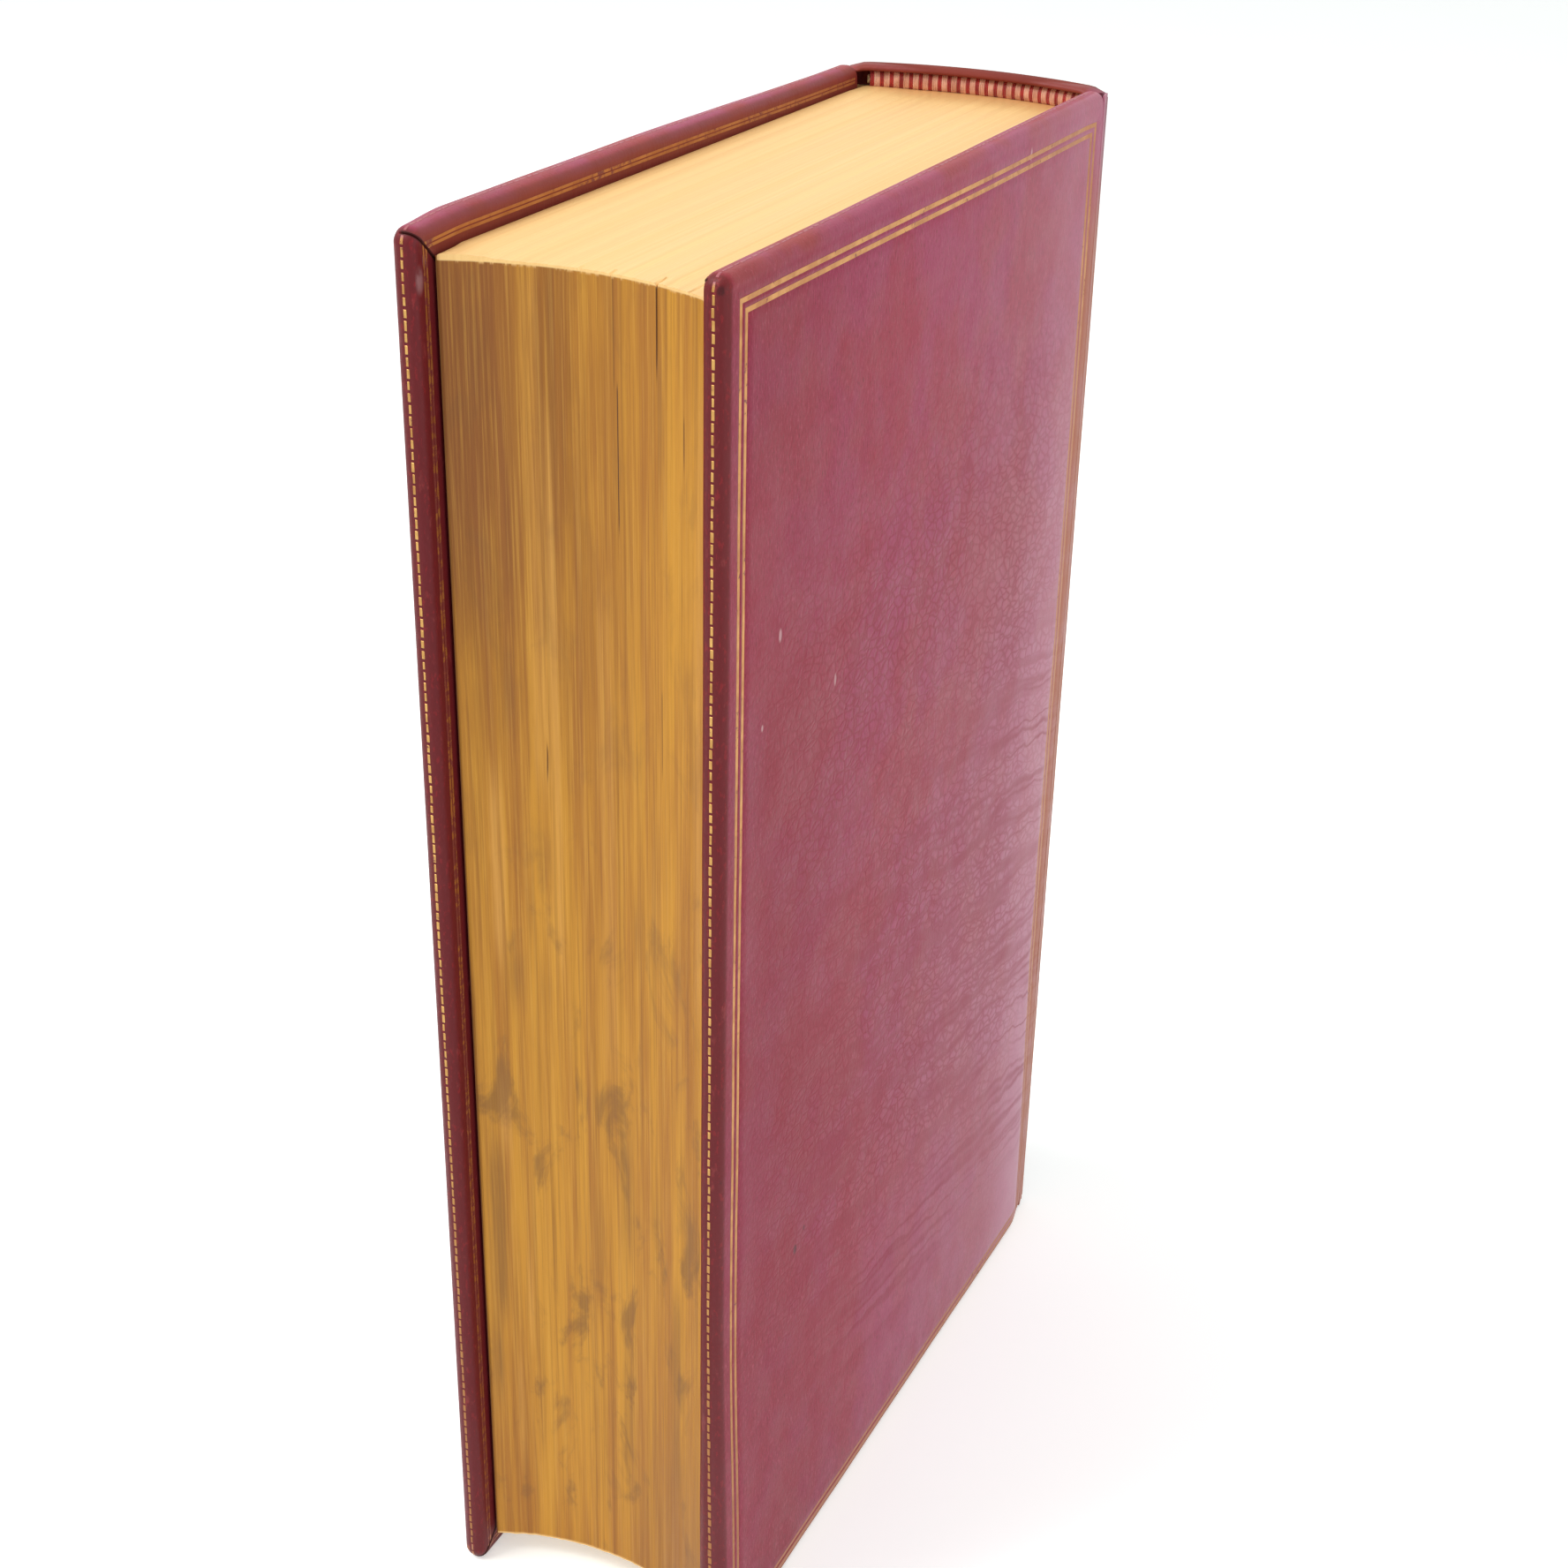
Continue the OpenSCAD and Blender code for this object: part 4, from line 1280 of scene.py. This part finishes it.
def lamp(name, place, aim, size, power, colour=(1, 1, 1)):
    """A square soft lamp, aimed at a point."""
    light = bpy.data.lights.new(name, "AREA")
    light.shape = "RECTANGLE"
    light.size = light.size_y = size
    light.energy = power
    light.color = colour
    one = bpy.data.objects.new(name, light)
    bpy.context.scene.collection.objects.link(one)
    one.location = place
    one.rotation_euler = (Vector(aim) - Vector(place)).to_track_quat("-Z", "Y").to_euler()


def studio():
    """White surroundings that light the book softly, and three soft lamps."""
    world = bpy.data.worlds.new("studio")
    bpy.context.scene.world = world
    world.use_nodes = True
    tree = world.node_tree
    back = tree.nodes["Background"]
    back.inputs["Color"].default_value = (1.0, 0.99, 0.98, 1)
    path = tree.nodes.new("ShaderNodeLightPath")
    level = tree.nodes.new("ShaderNodeMapRange")
    level.inputs["To Min"].default_value = AMBIENT
    shown = tree.nodes.new("ShaderNodeMath")
    shown.operation = "MAXIMUM"
    tree.links.new(path.outputs["Is Camera Ray"], shown.inputs[0])
    tree.links.new(path.outputs["Is Glossy Ray"], shown.inputs[1])
    tree.links.new(shown.outputs[0], level.inputs["Value"])
    tree.links.new(level.outputs["Result"], back.inputs["Strength"])
    lamp("window", (0.5, -0.65, 1.15), (0, 0, 0.1), 0.7, 12, (1, 0.99, 0.97))
    lamp("overhead", (0.1, 0.1, 1.4), (0, 0, 0.1), 1.0, 3)
    lamp("fill", (0.25, 1.1, 0.4), (0, 0, 0.12), 0.8, 4)


def camera():
    """The photograph's camera, solved from the book's corners, edges and gilt lines."""
    flat = math.cos(ELEVATION)
    back = Vector((math.sin(AZIMUTH) * flat, -math.cos(AZIMUTH) * flat, math.sin(ELEVATION)))
    level = (-back).cross(Vector((0, 0, 1))).normalized()
    upright = level.cross(-back)
    right = level * math.cos(ROLL) + upright * math.sin(ROLL)
    up = upright * math.cos(ROLL) - level * math.sin(ROLL)
    data = bpy.data.cameras.new("camera")
    data.sensor_width = 36
    data.lens = LENS
    data.clip_start = 0.01
    one = bpy.data.objects.new("camera", data)
    bpy.context.scene.collection.objects.link(one)
    one.matrix_world = Matrix.Translation(CAMERA_PLACE) @ Matrix((right, up, back)).transposed().to_4x4()
    bpy.context.scene.camera = one


floor()
studio()
camera()
bpy.context.scene.view_settings.view_transform = "Standard"
